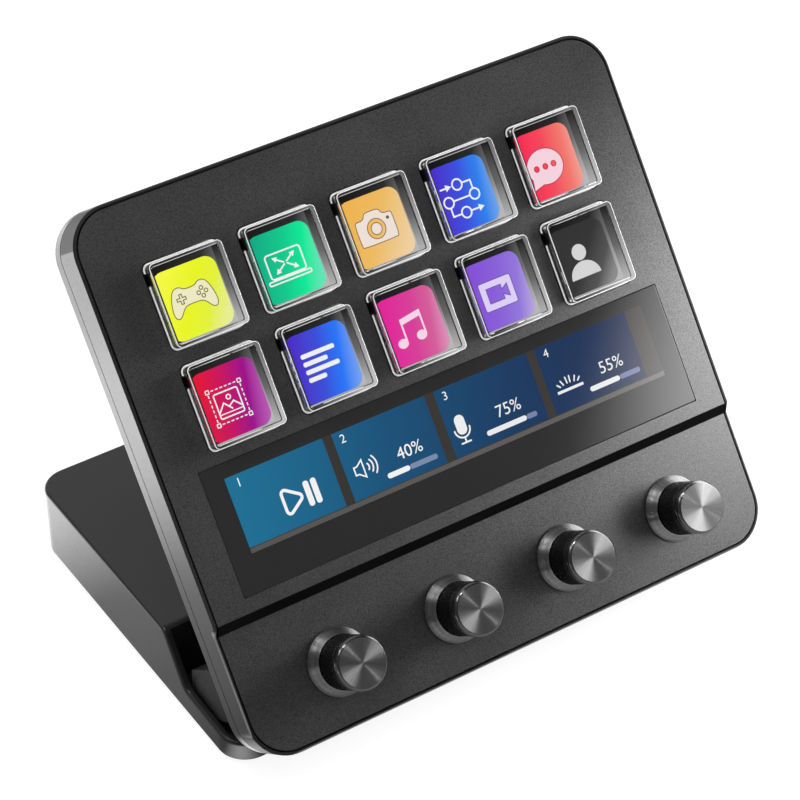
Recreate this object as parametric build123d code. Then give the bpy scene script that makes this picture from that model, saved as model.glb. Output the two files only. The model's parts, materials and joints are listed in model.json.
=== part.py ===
from build123d import *
from math import cos, radians, sin
import os

# Macro keypad with knobs: a tilting head with ten clear keys, a touch strip and four knobs,
# hinged to a weighted desk base.
#
# Millimetres. +Z is up, -Y points to the user and +X to the user's right, with the origin on the
# desk under the middle of the base. The head is built in a frame of its own, with its origin on the
# hinge axis: there +Y runs up the panel and +Z comes out of its face.

os.makedirs("parts", exist_ok=True)

# ---- Overall ----
body_width = 140.5            # the flush sides of the head and the base
tilt = 52.5                   # the panel's slope at rest, in degrees

# ---- Base ----
base_depth = 94.1
base_corner_radius = 7.0
base_wall = 1.8
base_edge_radius = 0.85
pad_thickness = 1.2
pad_width = 112.0
pad_depth = 72.0
pad_corner_radius = 8.0
base_plate_thickness = 1.8
base_plate_gap = 0.2
deck_height = 19.5            # from the desk
deck_length = 63.6            # from the back edge
deck_thickness = 2.0
bulkhead_thickness = 1.8
cheek_slope_run = 8.4         # the side walls drop in front of the deck
cheek_height = 7.2            # where that drop ends
lip_height = 6.2              # at the front edge
cheek_top_radius = 3.0
cheek_foot_radius = 4.0
ballast_width = 100.0
ballast_depth = 42.0
ballast_height = 9.0
ballast_setback = 9.0         # from the back edge to the ballast
ballast_chamfer = 1.0

# ---- Hinge ----
axis_height = 9.0             # from the desk
axis_from_front = 16.6        # from the base's front edge
lug_width = 8.0
lug_half_height = 6.4
lug_end_radius = 5.6
lug_corner_radius = 1.6
hinge_side_gap = 0.4
shaft_radius = 2.0
shaft_overhang = 1.0          # past the knuckle's inner end
shaft_head_radius = 3.5
shaft_head_thickness = 1.0
hinge_cap_radius = 4.7
hinge_cap_thickness = 0.9
hinge_cap_inset = 0.1
hinge_cap_fit = 0.05
hinge_running_fit = 0.05
knuckle_length = 14.0
knuckle_radius = 4.0
bracket_web_thickness = 2.4
bracket_leaf_thickness = 1.5
bracket_leaf_depth = 14.5
bracket_screw_inset = 3.5

# ---- Head casing ----
head_height = 127.4
head_thickness = 14.0
head_below_axis = 15.7        # from the hinge axis down to the head's lower edge
axis_to_rear = 13.6           # from the hinge axis to the rear cover's outer face
head_corner_radius = 10.0
rear_edge_radius = 2.0
cover_wall = 1.8
cover_depth = 5.2             # from the rear face to the parting line
seam_width = 0.3
frame_wall = 2.2
frame_rim = 0.7               # the rim that shows around the face plate
frame_chamfer = 0.35
face_gap = 0.4                # the dark line between the rim and the face plate
face_thickness = 2.0
face_step = 2.0               # the knob field lies this much lower
step_from_top = 94.2
step_run = 2.4
corner_screw_inset = 6.0
frame_boss_radius = 3.2
cover_boss_radius = 4.0

# ---- Keys ----
key_columns = 5
key_rows = 2
key_pitch_x = 23.7
key_pitch_y = 23.5
first_row_from_top = 25.3
cap_width = 18.0
cap_height = 19.3
cap_corner_radius = 1.2
cap_edge_radius = 0.45
cap_stand = 3.2               # above the face
cap_wall = 0.7
cap_roof = 1.2
cap_step = 0.35               # the skirt is this much wider than the cap, on each side
cap_step_height = 0.2         # above the face
cap_hole_gap = 0.3
cap_flange_overlap = 0.65
cap_flange_thickness = 0.8
cap_flange_gap = 0.3          # under the face plate
cap_notch_from_top = 1.6
cap_notch_length = 3.1
cap_notch_depth = 0.5
cap_notch_height = 0.5        # above the skirt's step
key_travel = 0.8
key_stop_gap = 0.2            # left under a pressed key

# ---- Display ----
mat_width = 122.0
mat_height = 78.0
mat_from_top = 12.7
mat_pocket_gap = 0.3
membrane_thickness = 0.3
guide_width = 15.8            # the clear block that carries each picture up under its key
guide_corner_radius = 3.3
guide_height = 3.0            # above the screen
guide_drop = 0.75             # each picture sits this much lower than its key
guide_gap = 0.2               # between the block and the mat
screen_inset = 1.0            # the screen is this much smaller than the mat, all round
screen_glass_thickness = 1.4
backlight_thickness = 2.2
screen_ledge = 3.0            # the glass left bare along the top, for the ribbon
strip_width = 123.1
strip_height = 29.2
strip_from_top = 61.6
strip_offset = 0.5            # to the user's right
strip_thickness = 1.1
strip_gap = 0.1
strip_seat = 2.1

# ---- Knobs ----
knob_count = 4
knob_pitch = 30.85
knob_row_offset = 1.4         # to the user's right
knob_row_from_top = 112.45
knob_radius = 6.2
knob_height = 12.5
knob_float = 0.5              # between the knob and the knob field
knob_press_travel = 0.3
knob_skirt_radius = 7.8
knob_skirt_top_radius = 6.7
knob_skirt_height = 2.8
knob_groove_width = 0.35
knob_groove_depth = 0.4
knob_hollow_radius = 5.9
knob_hollow_depth = 2.2
knob_cap_thickness = 1.2
knob_cap_chamfer = 0.55
knob_cap_spigot_radius = 4.0
knob_cap_spigot_depth = 0.8
spindle_radius = 3.0
spindle_flat = 2.1            # from the axis to the flat
spindle_end_gap = 0.3
spindle_running_fit = 0.05
spindle_collar_radius = 3.8
spindle_collar_thickness = 0.6
spindle_collar_gap = 0.1
bushing_radius = 3.5
bushing_stand = 1.6           # above the knob field
bushing_hole_gap = 0.15
encoder_width = 12.0
encoder_depth = 12.4
encoder_height = 5.6
encoder_wall = 0.9
rotor_radius = 5.0
rotor_thickness = 2.0
rotor_gap = 0.3
nut_across_flats = 9.0
nut_thickness = 1.2
washer_radius = 5.0
washer_thickness = 0.35

# ---- Boards, socket and ribbons ----
main_board_width = 112.0
main_board_height = 80.0
main_board_from_top = 4.2
main_board_thickness = 1.6
standoff_height = 1.6
standoff_radius = 2.6
board_hole_inset = 4.0
chip_size = 14.0
chip_pitch = 30.0
chip_thickness = 0.8
encoder_board_margin = 3.0
encoder_board_thickness = 1.2
socket_width = 8.94
socket_height = 3.26
socket_depth = 6.5
socket_wall = 0.3
socket_setback = 0.2
socket_tongue_width = 6.7
socket_tongue_thickness = 0.7
socket_tongue_setback = 0.5
socket_from_top = 7.4
socket_hole_gap = 0.35
ribbon_thickness = 0.3
screen_ribbon_width = 30.0
screen_ribbon_lap = 2.6
screen_ribbon_loop = 1.4
screen_ribbon_board_lap = 7.0
link_ribbon_width = 16.0
link_ribbon_lap = 6.0

# ---- Screws and fits ----
press_fit = 0.02
screw_radius = 1.25
screw_hole_gap = 0.25
screw_head_radius = 2.5
screw_head_gap = 0.3
cover_screw_recess = 2.0
cover_screw_head_thickness = 1.3
cover_screw_length = 6.0
key_socket_across = 2.0       # the hexagon in each screw's head
key_socket_depth = 0.5
small_screw_radius = 0.9
small_screw_head_radius = 1.7
small_screw_head_thickness = 0.7
small_screw_grip = 1.4
plate_screw_recess = 1.0
plate_screw_head_thickness = 0.8
plate_screw_grip = 4.0
front_screw_grip = 1.8
shell_boss_radius = 3.0
shell_boss_inset = 10.0
bulkhead_boss_gap = 5.0
front_boss_gap = 0.5          # between the front bosses and the front wall
front_boss_height = 2.4

# ---- Base levels and places ----
plate_top = pad_thickness + base_plate_thickness
leaf_top = plate_top + bracket_leaf_thickness
deck_underside = deck_height - deck_thickness
back_y = base_depth / 2
front_y = -base_depth / 2
deck_front_y = back_y - deck_length
bulkhead_back_y = deck_front_y + bulkhead_thickness
cheek_foot_y = deck_front_y - cheek_slope_run
axis_y = front_y + axis_from_front
ballast_y = back_y - ballast_setback - ballast_depth / 2
front_boss_y = front_y + base_wall + front_boss_gap + shell_boss_radius

# ---- Hinge places, out from the middle ----
lug_outer_x = body_width / 2 - base_wall - hinge_side_gap
lug_inner_x = lug_outer_x - lug_width
lug_recess = hinge_cap_inset + hinge_cap_thickness + shaft_head_thickness
knuckle_outer_x = lug_inner_x - hinge_side_gap
knuckle_inner_x = knuckle_outer_x - knuckle_length
knuckle_middle_x = (knuckle_outer_x + knuckle_inner_x) / 2
bracket_screw_y = axis_y + bracket_leaf_depth - bracket_web_thickness / 2 - bracket_screw_inset

# ---- Head levels, out from the hinge axis ----
rear_z = axis_to_rear
cover_floor_z = rear_z + cover_wall
parting_z = rear_z + cover_depth
face_z = rear_z + head_thickness
face_underside_z = face_z - face_thickness
field_z = face_z - face_step
field_underside_z = field_z - face_thickness
cover_screw_seat_z = rear_z + cover_screw_recess

# ---- Head places, up from the hinge axis ----
head_bottom_y = -head_below_axis
head_top_y = head_bottom_y + head_height
head_middle_y = (head_top_y + head_bottom_y) / 2
step_top_y = head_top_y - step_from_top
step_foot_y = step_top_y - step_run
strip_y = head_top_y - strip_from_top - strip_height / 2
knob_y = head_top_y - knob_row_from_top

# ---- Key levels and sizes ----
cap_top_z = face_z + cap_stand
cap_roof_underside_z = cap_top_z - cap_roof
cap_flange_top_z = face_underside_z - cap_flange_gap
cap_bottom_z = cap_flange_top_z - cap_flange_thickness
membrane_top_z = cap_bottom_z - key_travel - key_stop_gap
skirt_width = cap_width + 2 * cap_step
skirt_height = cap_height + 2 * cap_step
skirt_corner_radius = cap_corner_radius + cap_step
cap_hole_width = skirt_width + 2 * cap_hole_gap
cap_hole_height = skirt_height + 2 * cap_hole_gap
cap_hole_radius = skirt_corner_radius + cap_hole_gap
flange_width = cap_hole_width + 2 * cap_flange_overlap
flange_height = cap_hole_height + 2 * cap_flange_overlap
flange_corner_radius = cap_hole_radius + cap_flange_overlap

# ---- Display levels and places ----
screen_front_z = membrane_top_z - membrane_thickness
screen_back_z = screen_front_z - screen_glass_thickness
backlight_back_z = screen_back_z - backlight_thickness
mat_y = head_top_y - mat_from_top - mat_height / 2
screen_width = mat_width - 2 * screen_inset
screen_height = mat_height - 2 * screen_inset
screen_top_y = mat_y + screen_height / 2

# ---- Board levels and places ----
main_board_back_z = cover_floor_z + standoff_height
main_board_top_z = main_board_back_z + main_board_thickness
main_board_top_y = head_top_y - main_board_from_top
main_board_y = main_board_top_y - main_board_height / 2
main_board_bottom_y = main_board_top_y - main_board_height
encoder_back_z = field_underside_z - encoder_height
encoder_board_back_z = encoder_back_z - encoder_board_thickness
encoder_board_width = (knob_count - 1) * knob_pitch + encoder_width + 2 * encoder_board_margin
encoder_board_height = encoder_depth + 2 * encoder_board_margin
socket_y = head_top_y - socket_from_top
socket_mouth_z = rear_z + socket_setback

# ---- Knob levels ----
bushing_top_z = field_z + bushing_stand
knob_base_z = field_z + knob_float
knob_skirt_top_z = knob_base_z + knob_skirt_height
knob_groove_top_z = knob_skirt_top_z + knob_groove_width
knob_top_z = knob_base_z + knob_height
knob_cap_base_z = knob_top_z - knob_cap_thickness
knob_spigot_z = knob_cap_base_z - knob_cap_spigot_depth
rotor_room_floor_z = encoder_back_z + encoder_wall
rotor_room_roof_z = field_underside_z - encoder_wall
rotor_low_z = rotor_room_floor_z + rotor_gap
spindle_bottom_z = rotor_low_z + knob_press_travel
spindle_top_z = knob_spigot_z - spindle_end_gap
collar_top_z = rotor_room_roof_z - spindle_collar_gap
collar_low_z = collar_top_z - spindle_collar_thickness

head_place = Pos(0, axis_y, axis_height) * Rot(tilt, 0, 0)


# ---- Helpers ----
def slab(width, depth, low_z, high_z, x=0.0, y=0.0, radius=0.0):
    """A flat block between two levels, with rounded upright corners where a radius is given."""
    outline = RectangleRounded(width, depth, radius) if radius else Rectangle(width, depth)
    return Pos(x, y, low_z) * extrude(outline, high_z - low_z)


def post(radius, low_z, high_z, x=0.0, y=0.0):
    """An upright round post between two levels."""
    return Pos(x, y, low_z) * extrude(Circle(radius), high_z - low_z)


def rod(radius, low_x, high_x, y=0.0, z=0.0):
    """A round bar along the width."""
    return Pos(low_x, y, z) * Rot(0, 90, 0) * extrude(Circle(radius), high_x - low_x)


def across(points, width, x=0.0):
    """A prism across the width, from a side view given as (y, z) points."""
    outline = make_face(Polyline(*[(0, y, z) for y, z in points], close=True))
    return Pos(x - width / 2, 0, 0) * extrude(outline, width, dir=(1, 0, 0))


def turned(points, x, y):
    """A turned piece about an upright axis, from half its section as (radius, z) points."""
    outline = make_face(Polyline(*[(r, 0, z) for r, z in points], close=True))
    return Pos(x, y, 0) * revolve(outline, Axis.Z)


def around(half_x, half_y, middle_y):
    """Four places around a point on the middle line."""
    return [(sx * half_x, middle_y + sy * half_y) for sx in (-1, 1) for sy in (-1, 1)]


def write(name, *solids):
    """Write one node of the base."""
    export_step(Compound(children=list(solids)) if len(solids) > 1 else solids[0],
                f"parts/{name}.step")


def write_head(name, *solids):
    """Write one node of the head, set at its resting slope."""
    write(name, *[head_place * solid for solid in solids])


def write_pair(writer, name, left_solid):
    """Write a left-hand piece and its mirror image."""
    writer(f"{name}_left", left_solid)
    writer(f"{name}_right", mirror(left_solid, Plane.YZ))


# ---- Places of keys, knobs and screws ----
key_places = [
    ((column - (key_columns - 1) / 2) * key_pitch_x,
     head_top_y - first_row_from_top - row * key_pitch_y)
    for row in range(key_rows)
    for column in range(key_columns)
]
knob_places = [
    ((index - (knob_count - 1) / 2) * knob_pitch + knob_row_offset, knob_y)
    for index in range(knob_count)
]
corner_screw_places = around(body_width / 2 - corner_screw_inset,
                             head_height / 2 - corner_screw_inset, head_middle_y)
board_screw_places = around(main_board_width / 2 - board_hole_inset,
                            main_board_height / 2 - board_hole_inset, main_board_y)
shell_screw_x = body_width / 2 - shell_boss_inset
deck_screw_places = [
    (side * shell_screw_x, y)
    for side in (-1, 1)
    for y in (back_y - shell_boss_inset, bulkhead_back_y + bulkhead_boss_gap)
]
front_screw_places = [(side * shell_screw_x, front_boss_y) for side in (-1, 1)]
ballast_screw_places = [(side * ballast_width / 4, ballast_y) for side in (-1, 1)]
bracket_screw_places = [
    (side * (knuckle_middle_x + step * (knuckle_length / 2 - bracket_screw_inset)), bracket_screw_y)
    for side in (-1, 1)
    for step in (-1, 1)
]


# ---- Base ----
def base_side_view():
    """The base's outline from the side, with rounded turns where the side walls drop."""
    outline = make_face(Polyline(
        (0, back_y, pad_thickness),
        (0, back_y, deck_height),
        (0, deck_front_y, deck_height),
        (0, cheek_foot_y, cheek_height),
        (0, front_y, lip_height),
        (0, front_y, pad_thickness),
        close=True,
    ))
    foot = outline.vertices().sort_by_distance((0, cheek_foot_y, cheek_height))[0]
    outline = fillet(foot, cheek_foot_radius)
    shoulder = outline.vertices().sort_by_distance((0, deck_front_y, deck_height))[0]
    return fillet(shoulder, cheek_top_radius)


def base_block():
    """The base's outer form, with its upper edges rounded."""
    side = Pos(-body_width / 2, 0, 0) * extrude(base_side_view(), body_width, dir=(1, 0, 0))
    block = side & slab(body_width, base_depth, pad_thickness, deck_height,
                        radius=base_corner_radius)
    rim = []
    for edge in block.edges():
        middle = edge @ 0.5
        upright = abs((edge % 0.5).Z) > 0.99
        inner_turn = abs(middle.X) < 1 and abs(middle.Y) < base_depth / 2 - 1
        if middle.Z > pad_thickness + 1 and not upright and not inner_turn:
            rim.append(edge)
    return fillet(rim, base_edge_radius)


def base_shell():
    """The moulded top of the base: a closed deck behind and an open tray in front."""
    inside = slab(body_width - 2 * base_wall, base_depth - 2 * base_wall, 0, 2 * deck_height,
                  radius=base_corner_radius - base_wall)
    room_depth = back_y - bulkhead_back_y
    room = slab(body_width, room_depth, 0, deck_underside, y=back_y - room_depth / 2)
    tray_depth = deck_front_y - front_y
    tray = slab(body_width, tray_depth, 0, 2 * deck_height, y=front_y + tray_depth / 2)
    plate_room = slab(body_width, base_depth, 0, plate_top)
    shell = base_block() - (inside & (room + tray + plate_room))
    for x, y in deck_screw_places:
        shell += post(shell_boss_radius, plate_top, deck_underside, x, y)
        shell -= post(screw_radius + press_fit, plate_top, plate_top + plate_screw_grip, x, y)
    web_depth = front_boss_y - front_y - base_wall
    for x, y in front_screw_places:
        boss_top = plate_top + front_boss_height
        shell += post(shell_boss_radius, plate_top, boss_top, x, y)
        shell += slab(2 * shell_boss_radius, web_depth, plate_top, boss_top, x, y - web_depth / 2)
        shell -= post(screw_radius + press_fit, plate_top, plate_top + front_screw_grip, x, y)
    return shell


def base_plate():
    """The flat cover under the base, which carries the brackets and the ballast."""
    edge = base_wall + base_plate_gap
    plate = slab(body_width - 2 * edge, base_depth - 2 * edge, pad_thickness, plate_top,
                 radius=base_corner_radius - edge)
    for x, y in deck_screw_places + front_screw_places + ballast_screw_places:
        plate -= post(screw_radius + screw_hole_gap, pad_thickness, plate_top, x, y)
        plate -= post(screw_head_radius + screw_head_gap, pad_thickness,
                      pad_thickness + plate_screw_recess, x, y)
    for x, y in bracket_screw_places:
        plate -= post(small_screw_radius + press_fit, plate_top - small_screw_grip, plate_top, x, y)
    return plate


def key_socket(low_z, x, y):
    """The hexagonal socket in a screw's head, up from the head's lower face."""
    hexagon = RegularPolygon(key_socket_across / 2, 6, major_radius=False)
    return Pos(x, y, low_z) * extrude(hexagon, key_socket_depth)


def plate_screw(x, y, grip):
    """A screw driven up through the base plate."""
    seat = pad_thickness + plate_screw_recess
    top = seat - plate_screw_head_thickness
    head = post(screw_head_radius, top, seat, x, y) - key_socket(top, x, y)
    return head + post(screw_radius, seat, plate_top + grip, x, y)


def ballast():
    """The steel block that keeps the base down."""
    block = slab(ballast_width, ballast_depth, plate_top, plate_top + ballast_height, y=ballast_y)
    block = chamfer(block.edges() | Axis.Z, ballast_chamfer)
    for x, y in ballast_screw_places:
        block -= post(screw_radius + press_fit, plate_top, plate_top + plate_screw_grip, x, y)
    return block


def rubber_pad():
    """The non-slip pad under the whole middle of the base."""
    return slab(pad_width, pad_depth, 0, pad_thickness, radius=pad_corner_radius)


def hinge_bracket():
    """The left bracket: a leaf on the base plate and a knuckle around the hinge shaft."""
    leaf_y = axis_y + (bracket_leaf_depth - bracket_web_thickness) / 2
    bracket = slab(knuckle_length, bracket_leaf_depth, plate_top, leaf_top,
                   x=-knuckle_middle_x, y=leaf_y)
    bracket += slab(knuckle_length, bracket_web_thickness, plate_top, axis_height,
                    x=-knuckle_middle_x, y=axis_y)
    bracket += rod(knuckle_radius, -knuckle_outer_x, -knuckle_inner_x, axis_y, axis_height)
    bracket -= rod(shaft_radius + hinge_running_fit, -knuckle_outer_x, -knuckle_inner_x,
                   axis_y, axis_height)
    for x, y in bracket_screw_places:
        bracket -= post(small_screw_radius + press_fit, plate_top, leaf_top, x, y)
    return bracket


def small_screw(seat, shank, x, y):
    """A small pan-head screw with its head on a given level."""
    head = post(small_screw_head_radius, seat, seat + small_screw_head_thickness, x, y)
    return head + post(small_screw_radius, seat - shank, seat, x, y)


# ---- Head casing ----
def head_block(inset, low_z, high_z):
    """A block with the head's rounded outline, drawn in by an inset."""
    return slab(body_width - 2 * inset, head_height - 2 * inset, low_z, high_z,
                y=head_middle_y, radius=head_corner_radius - inset)


def under_face(depth):
    """All that lies at least this far under the stepped face."""
    return across([
        (-head_height, 0),
        (-head_height, field_z - depth),
        (step_foot_y, field_z - depth),
        (step_top_y, face_z - depth),
        (head_height, face_z - depth),
        (head_height, 0),
    ], 2 * body_width)


def frame_block():
    """The side band's full form, with a fine chamfer round its front edge."""
    block = head_block(0, parting_z, face_z) & under_face(0)
    rim = []
    for edge in block.edges():
        middle = edge @ 0.5
        upright = abs((edge % 0.5).Z) > 0.99
        step_line = abs(middle.X) < 1 and abs(middle.Y - head_middle_y) < head_height / 2 - 1
        if middle.Z > parting_z + 1 and not upright and not step_line:
            rim.append(edge)
    return chamfer(rim, frame_chamfer)


def mid_frame():
    """The head's side band, with a seat for the face plate and bosses for the corner screws."""
    under_plate = under_face(face_thickness)
    seat = head_block(frame_rim, parting_z, face_z) - under_plate
    frame = frame_block() - seat - head_block(frame_wall, parting_z, face_z)
    room = head_block(frame_rim, parting_z, face_z) & under_plate
    for x, y in corner_screw_places:
        frame += post(frame_boss_radius, parting_z, face_z, x, y) & room
        frame -= post(screw_radius + press_fit, parting_z,
                      cover_screw_seat_z + cover_screw_length, x, y)
    return frame


def face_plate():
    """The stepped front plate, with its openings for the keys, the strip and the knobs."""
    plate = head_block(frame_rim + face_gap, parting_z, face_z)
    plate = (plate & under_face(0)) - under_face(face_thickness)
    for x, y in key_places:
        plate -= slab(cap_hole_width, cap_hole_height, face_underside_z, face_z, x, y,
                      cap_hole_radius)
    plate -= slab(strip_width + 2 * strip_gap, strip_height + 2 * strip_gap,
                  face_z - strip_thickness, face_z, strip_offset, strip_y)
    plate -= slab(strip_width - 2 * strip_seat, strip_height - 2 * strip_seat,
                  face_underside_z, face_z, strip_offset, strip_y)
    for x, y in knob_places:
        plate -= post(bushing_radius + bushing_hole_gap, field_underside_z, field_z, x, y)
    return plate


def touch_glass():
    """The glass of the touch strip, flush with the face."""
    return slab(strip_width, strip_height, face_z - strip_thickness, face_z, strip_offset, strip_y)


def hinge_lug():
    """The left lug: a rounded end around the hinge axis, with a heel that stands upright at rest."""
    slope = radians(tilt)
    touch_y = lug_end_radius * cos(slope)
    touch_z = -lug_end_radius * sin(slope)
    rise = (lug_half_height - touch_y) / sin(slope)
    corner_z = touch_z + rise * cos(slope)
    middle_x = -(lug_outer_x + lug_inner_x) / 2
    lug = across([
        (lug_half_height, cover_floor_z),
        (lug_half_height, corner_z),
        (touch_y, touch_z),
        (0, 0),
        (-lug_end_radius, 0),
        (-lug_half_height, rear_z),
        (-lug_half_height, cover_floor_z),
    ], lug_width, middle_x)
    lug += rod(lug_end_radius, -lug_outer_x, -lug_inner_x)
    corner = (lug.edges() | Axis.X).sort_by_distance((middle_x, lug_half_height, corner_z))[0]
    return fillet(corner, lug_corner_radius)


def hinge_bore():
    """The left lug's bore, with the round recess for the shaft's head and the trim cap."""
    bore = rod(shaft_radius + press_fit, -lug_outer_x, -lug_inner_x)
    return bore + rod(hinge_cap_radius + hinge_cap_fit, -lug_outer_x, -lug_outer_x + lug_recess)


def rear_cover():
    """The head's back, with the lugs, the standoffs and the opening for the socket."""
    cover = head_block(0, rear_z, parting_z)
    cover = fillet(cover.faces().sort_by(Axis.Z)[0].edges(), rear_edge_radius)
    cover -= head_block(cover_wall, cover_floor_z, parting_z)
    cover -= (head_block(0, parting_z - seam_width, parting_z)
              - head_block(seam_width, parting_z - seam_width, parting_z))
    for lug in (hinge_lug(), mirror(hinge_lug(), Plane.YZ)):
        cover += lug
    for bore in (hinge_bore(), mirror(hinge_bore(), Plane.YZ)):
        cover -= bore
    for x, y in corner_screw_places:
        cover += post(cover_boss_radius, cover_floor_z, parting_z, x, y)
        cover -= post(screw_radius + screw_hole_gap, rear_z, parting_z, x, y)
        cover -= post(screw_head_radius + screw_head_gap, rear_z, cover_screw_seat_z, x, y)
    for x, y in board_screw_places:
        cover += post(standoff_radius, cover_floor_z, main_board_back_z, x, y)
        cover -= post(small_screw_radius + press_fit, main_board_back_z - small_screw_grip,
                      main_board_back_z, x, y)
    opening_height = socket_height + 2 * socket_hole_gap
    cover -= slab(socket_width + 2 * socket_hole_gap, opening_height, rear_z, cover_floor_z,
                  y=socket_y, radius=opening_height / 2 - press_fit)
    return cover


def cover_screw(x, y):
    """A screw through the rear cover into the side band."""
    top = cover_screw_seat_z - cover_screw_head_thickness
    head = post(screw_head_radius, top, cover_screw_seat_z, x, y) - key_socket(top, x, y)
    return head + post(screw_radius, cover_screw_seat_z,
                       cover_screw_seat_z + cover_screw_length, x, y)


def hinge_shaft():
    """The left hinge shaft, headed at its outer end."""
    head_outer_x = -lug_outer_x + hinge_cap_inset + hinge_cap_thickness
    head_inner_x = head_outer_x + shaft_head_thickness
    shaft = rod(shaft_radius, head_inner_x, -knuckle_inner_x + shaft_overhang)
    return shaft + rod(shaft_head_radius, head_outer_x, head_inner_x)


def hinge_cap():
    """The left round trim cap over the shaft's head."""
    outer_x = -lug_outer_x + hinge_cap_inset
    return rod(hinge_cap_radius, outer_x, outer_x + hinge_cap_thickness)


# ---- Keys and display ----
def keycap(x, y):
    """One clear key: a hollow cap with a stepped skirt, a retaining flange and a side notch."""
    step_z = face_z + cap_step_height
    cap = slab(cap_width, cap_height, step_z, cap_top_z, radius=cap_corner_radius)
    cap = fillet(cap.faces().sort_by(Axis.Z)[-1].edges(), cap_edge_radius)
    cap += slab(skirt_width, skirt_height, cap_bottom_z, step_z, radius=skirt_corner_radius)
    cap += slab(flange_width, flange_height, cap_bottom_z, cap_flange_top_z,
                radius=flange_corner_radius)
    cap -= slab(cap_width - 2 * cap_wall, cap_height - 2 * cap_wall, cap_bottom_z,
                cap_roof_underside_z)
    notch_inner_x = -skirt_width / 2 + cap_notch_depth
    notch_outer_x = -flange_width / 2
    cap -= slab(notch_inner_x - notch_outer_x, cap_notch_length, cap_bottom_z,
                step_z + cap_notch_height, x=(notch_inner_x + notch_outer_x) / 2,
                y=cap_height / 2 - cap_notch_from_top - cap_notch_length / 2)
    return Pos(x, y, 0) * cap


def key_mat():
    """The black silicone mat: a pocket and a thin framed window under each key and the strip."""
    mat = slab(mat_width, mat_height, screen_front_z, face_underside_z, y=mat_y)
    window = guide_width + 2 * guide_gap
    for x, y in key_places:
        mat -= slab(flange_width + 2 * mat_pocket_gap, flange_height + 2 * mat_pocket_gap,
                    membrane_top_z, face_underside_z, x, y)
        mat -= slab(window, window, screen_front_z, membrane_top_z, x, y - guide_drop,
                    guide_corner_radius + guide_gap)
    mat -= slab(strip_width - 2 * strip_seat, strip_height - 2 * strip_seat, screen_front_z,
                face_underside_z, strip_offset, strip_y)
    return mat


def light_guide(x, y):
    """The clear block on the screen that carries one key's picture up into its cap."""
    return slab(guide_width, guide_width, screen_front_z, screen_front_z + guide_height,
                x, y - guide_drop, guide_corner_radius)


def lcd_panel():
    """The glass of the one screen behind the keys and the strip."""
    return slab(screen_width, screen_height, screen_back_z, screen_front_z, y=mat_y)


def lcd_backlight():
    """The backlight behind the screen, short of its top ledge."""
    return slab(screen_width, screen_height - screen_ledge, backlight_back_z, screen_back_z,
                y=mat_y - screen_ledge / 2)


# ---- Boards, socket and ribbons ----
def main_board():
    """The main circuit board, with three chips on its back."""
    board = slab(main_board_width, main_board_height, main_board_back_z, main_board_top_z,
                 y=main_board_y)
    for x, y in board_screw_places:
        board -= post(small_screw_radius + screw_hole_gap, main_board_back_z, main_board_top_z, x, y)
    board -= slab(socket_width + 2 * press_fit, socket_height + 2 * press_fit,
                  main_board_back_z, main_board_top_z, y=socket_y)
    for step in (-1, 0, 1):
        board += slab(chip_size, chip_size, main_board_back_z - chip_thickness, main_board_back_z,
                      x=step * chip_pitch, y=main_board_y)
    return board


def usb_socket():
    """The power and data socket, facing out of the rear cover."""
    inner_z = socket_mouth_z + socket_depth
    socket = slab(socket_width, socket_height, socket_mouth_z, inner_z,
                  radius=socket_height / 2 - press_fit)
    mouth_height = socket_height - 2 * socket_wall
    socket -= slab(socket_width - 2 * socket_wall, mouth_height, socket_mouth_z,
                   inner_z - socket_wall, radius=mouth_height / 2 - press_fit)
    socket += slab(socket_tongue_width, socket_tongue_thickness,
                   socket_mouth_z + socket_tongue_setback, inner_z)
    return Pos(0, socket_y, 0) * socket


def encoder_board():
    """The narrow board behind the knobs."""
    return slab(encoder_board_width, encoder_board_height, encoder_board_back_z, encoder_back_z,
                x=knob_row_offset, y=knob_y)


def screen_ribbon():
    """The flat ribbon that loops from the screen's top ledge down to the main board."""
    loop_y = screen_top_y + screen_ribbon_loop
    lap_y = screen_top_y - screen_ribbon_lap
    board_lap_y = screen_top_y - screen_ribbon_board_lap
    inner_y = loop_y - ribbon_thickness
    outer = [(lap_y, screen_back_z), (loop_y, screen_back_z), (loop_y, main_board_top_z),
             (board_lap_y, main_board_top_z)]
    inner = [(board_lap_y, main_board_top_z + ribbon_thickness),
             (inner_y, main_board_top_z + ribbon_thickness),
             (inner_y, screen_back_z - ribbon_thickness),
             (lap_y, screen_back_z - ribbon_thickness)]
    return across(outer + inner, screen_ribbon_width)


def link_ribbon():
    """The flat ribbon between the backs of the main board and the encoder board."""
    encoder_edge_y = knob_y + encoder_board_height / 2
    run = [(main_board_bottom_y + link_ribbon_lap, main_board_back_z),
           (main_board_bottom_y, main_board_back_z),
           (encoder_edge_y, encoder_board_back_z),
           (encoder_edge_y - link_ribbon_lap, encoder_board_back_z)]
    underside = [(y, z - ribbon_thickness) for y, z in reversed(run)]
    return across(run + underside, link_ribbon_width)


# ---- Knobs ----
def encoder(x, y):
    """One encoder's case with its bushing, and the room for the rotor inside."""
    case = slab(encoder_width, encoder_depth, encoder_back_z, field_underside_z, x, y)
    case += post(bushing_radius, field_underside_z, bushing_top_z, x, y)
    case -= post(rotor_radius + rotor_gap, rotor_room_floor_z, rotor_room_roof_z, x, y)
    case -= post(spindle_radius + spindle_running_fit, rotor_room_roof_z, bushing_top_z, x, y)
    return case


def washer(x, y):
    """The flat washer on one bushing."""
    ring = Circle(washer_radius) - Circle(bushing_radius + press_fit)
    return Pos(x, y, field_z) * extrude(ring, washer_thickness)


def nut(x, y):
    """The hexagon nut on one bushing."""
    ring = RegularPolygon(nut_across_flats / 2, 6, major_radius=False)
    ring -= Circle(bushing_radius + press_fit)
    return Pos(x, y, field_z + washer_thickness) * extrude(ring, nut_thickness)


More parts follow.
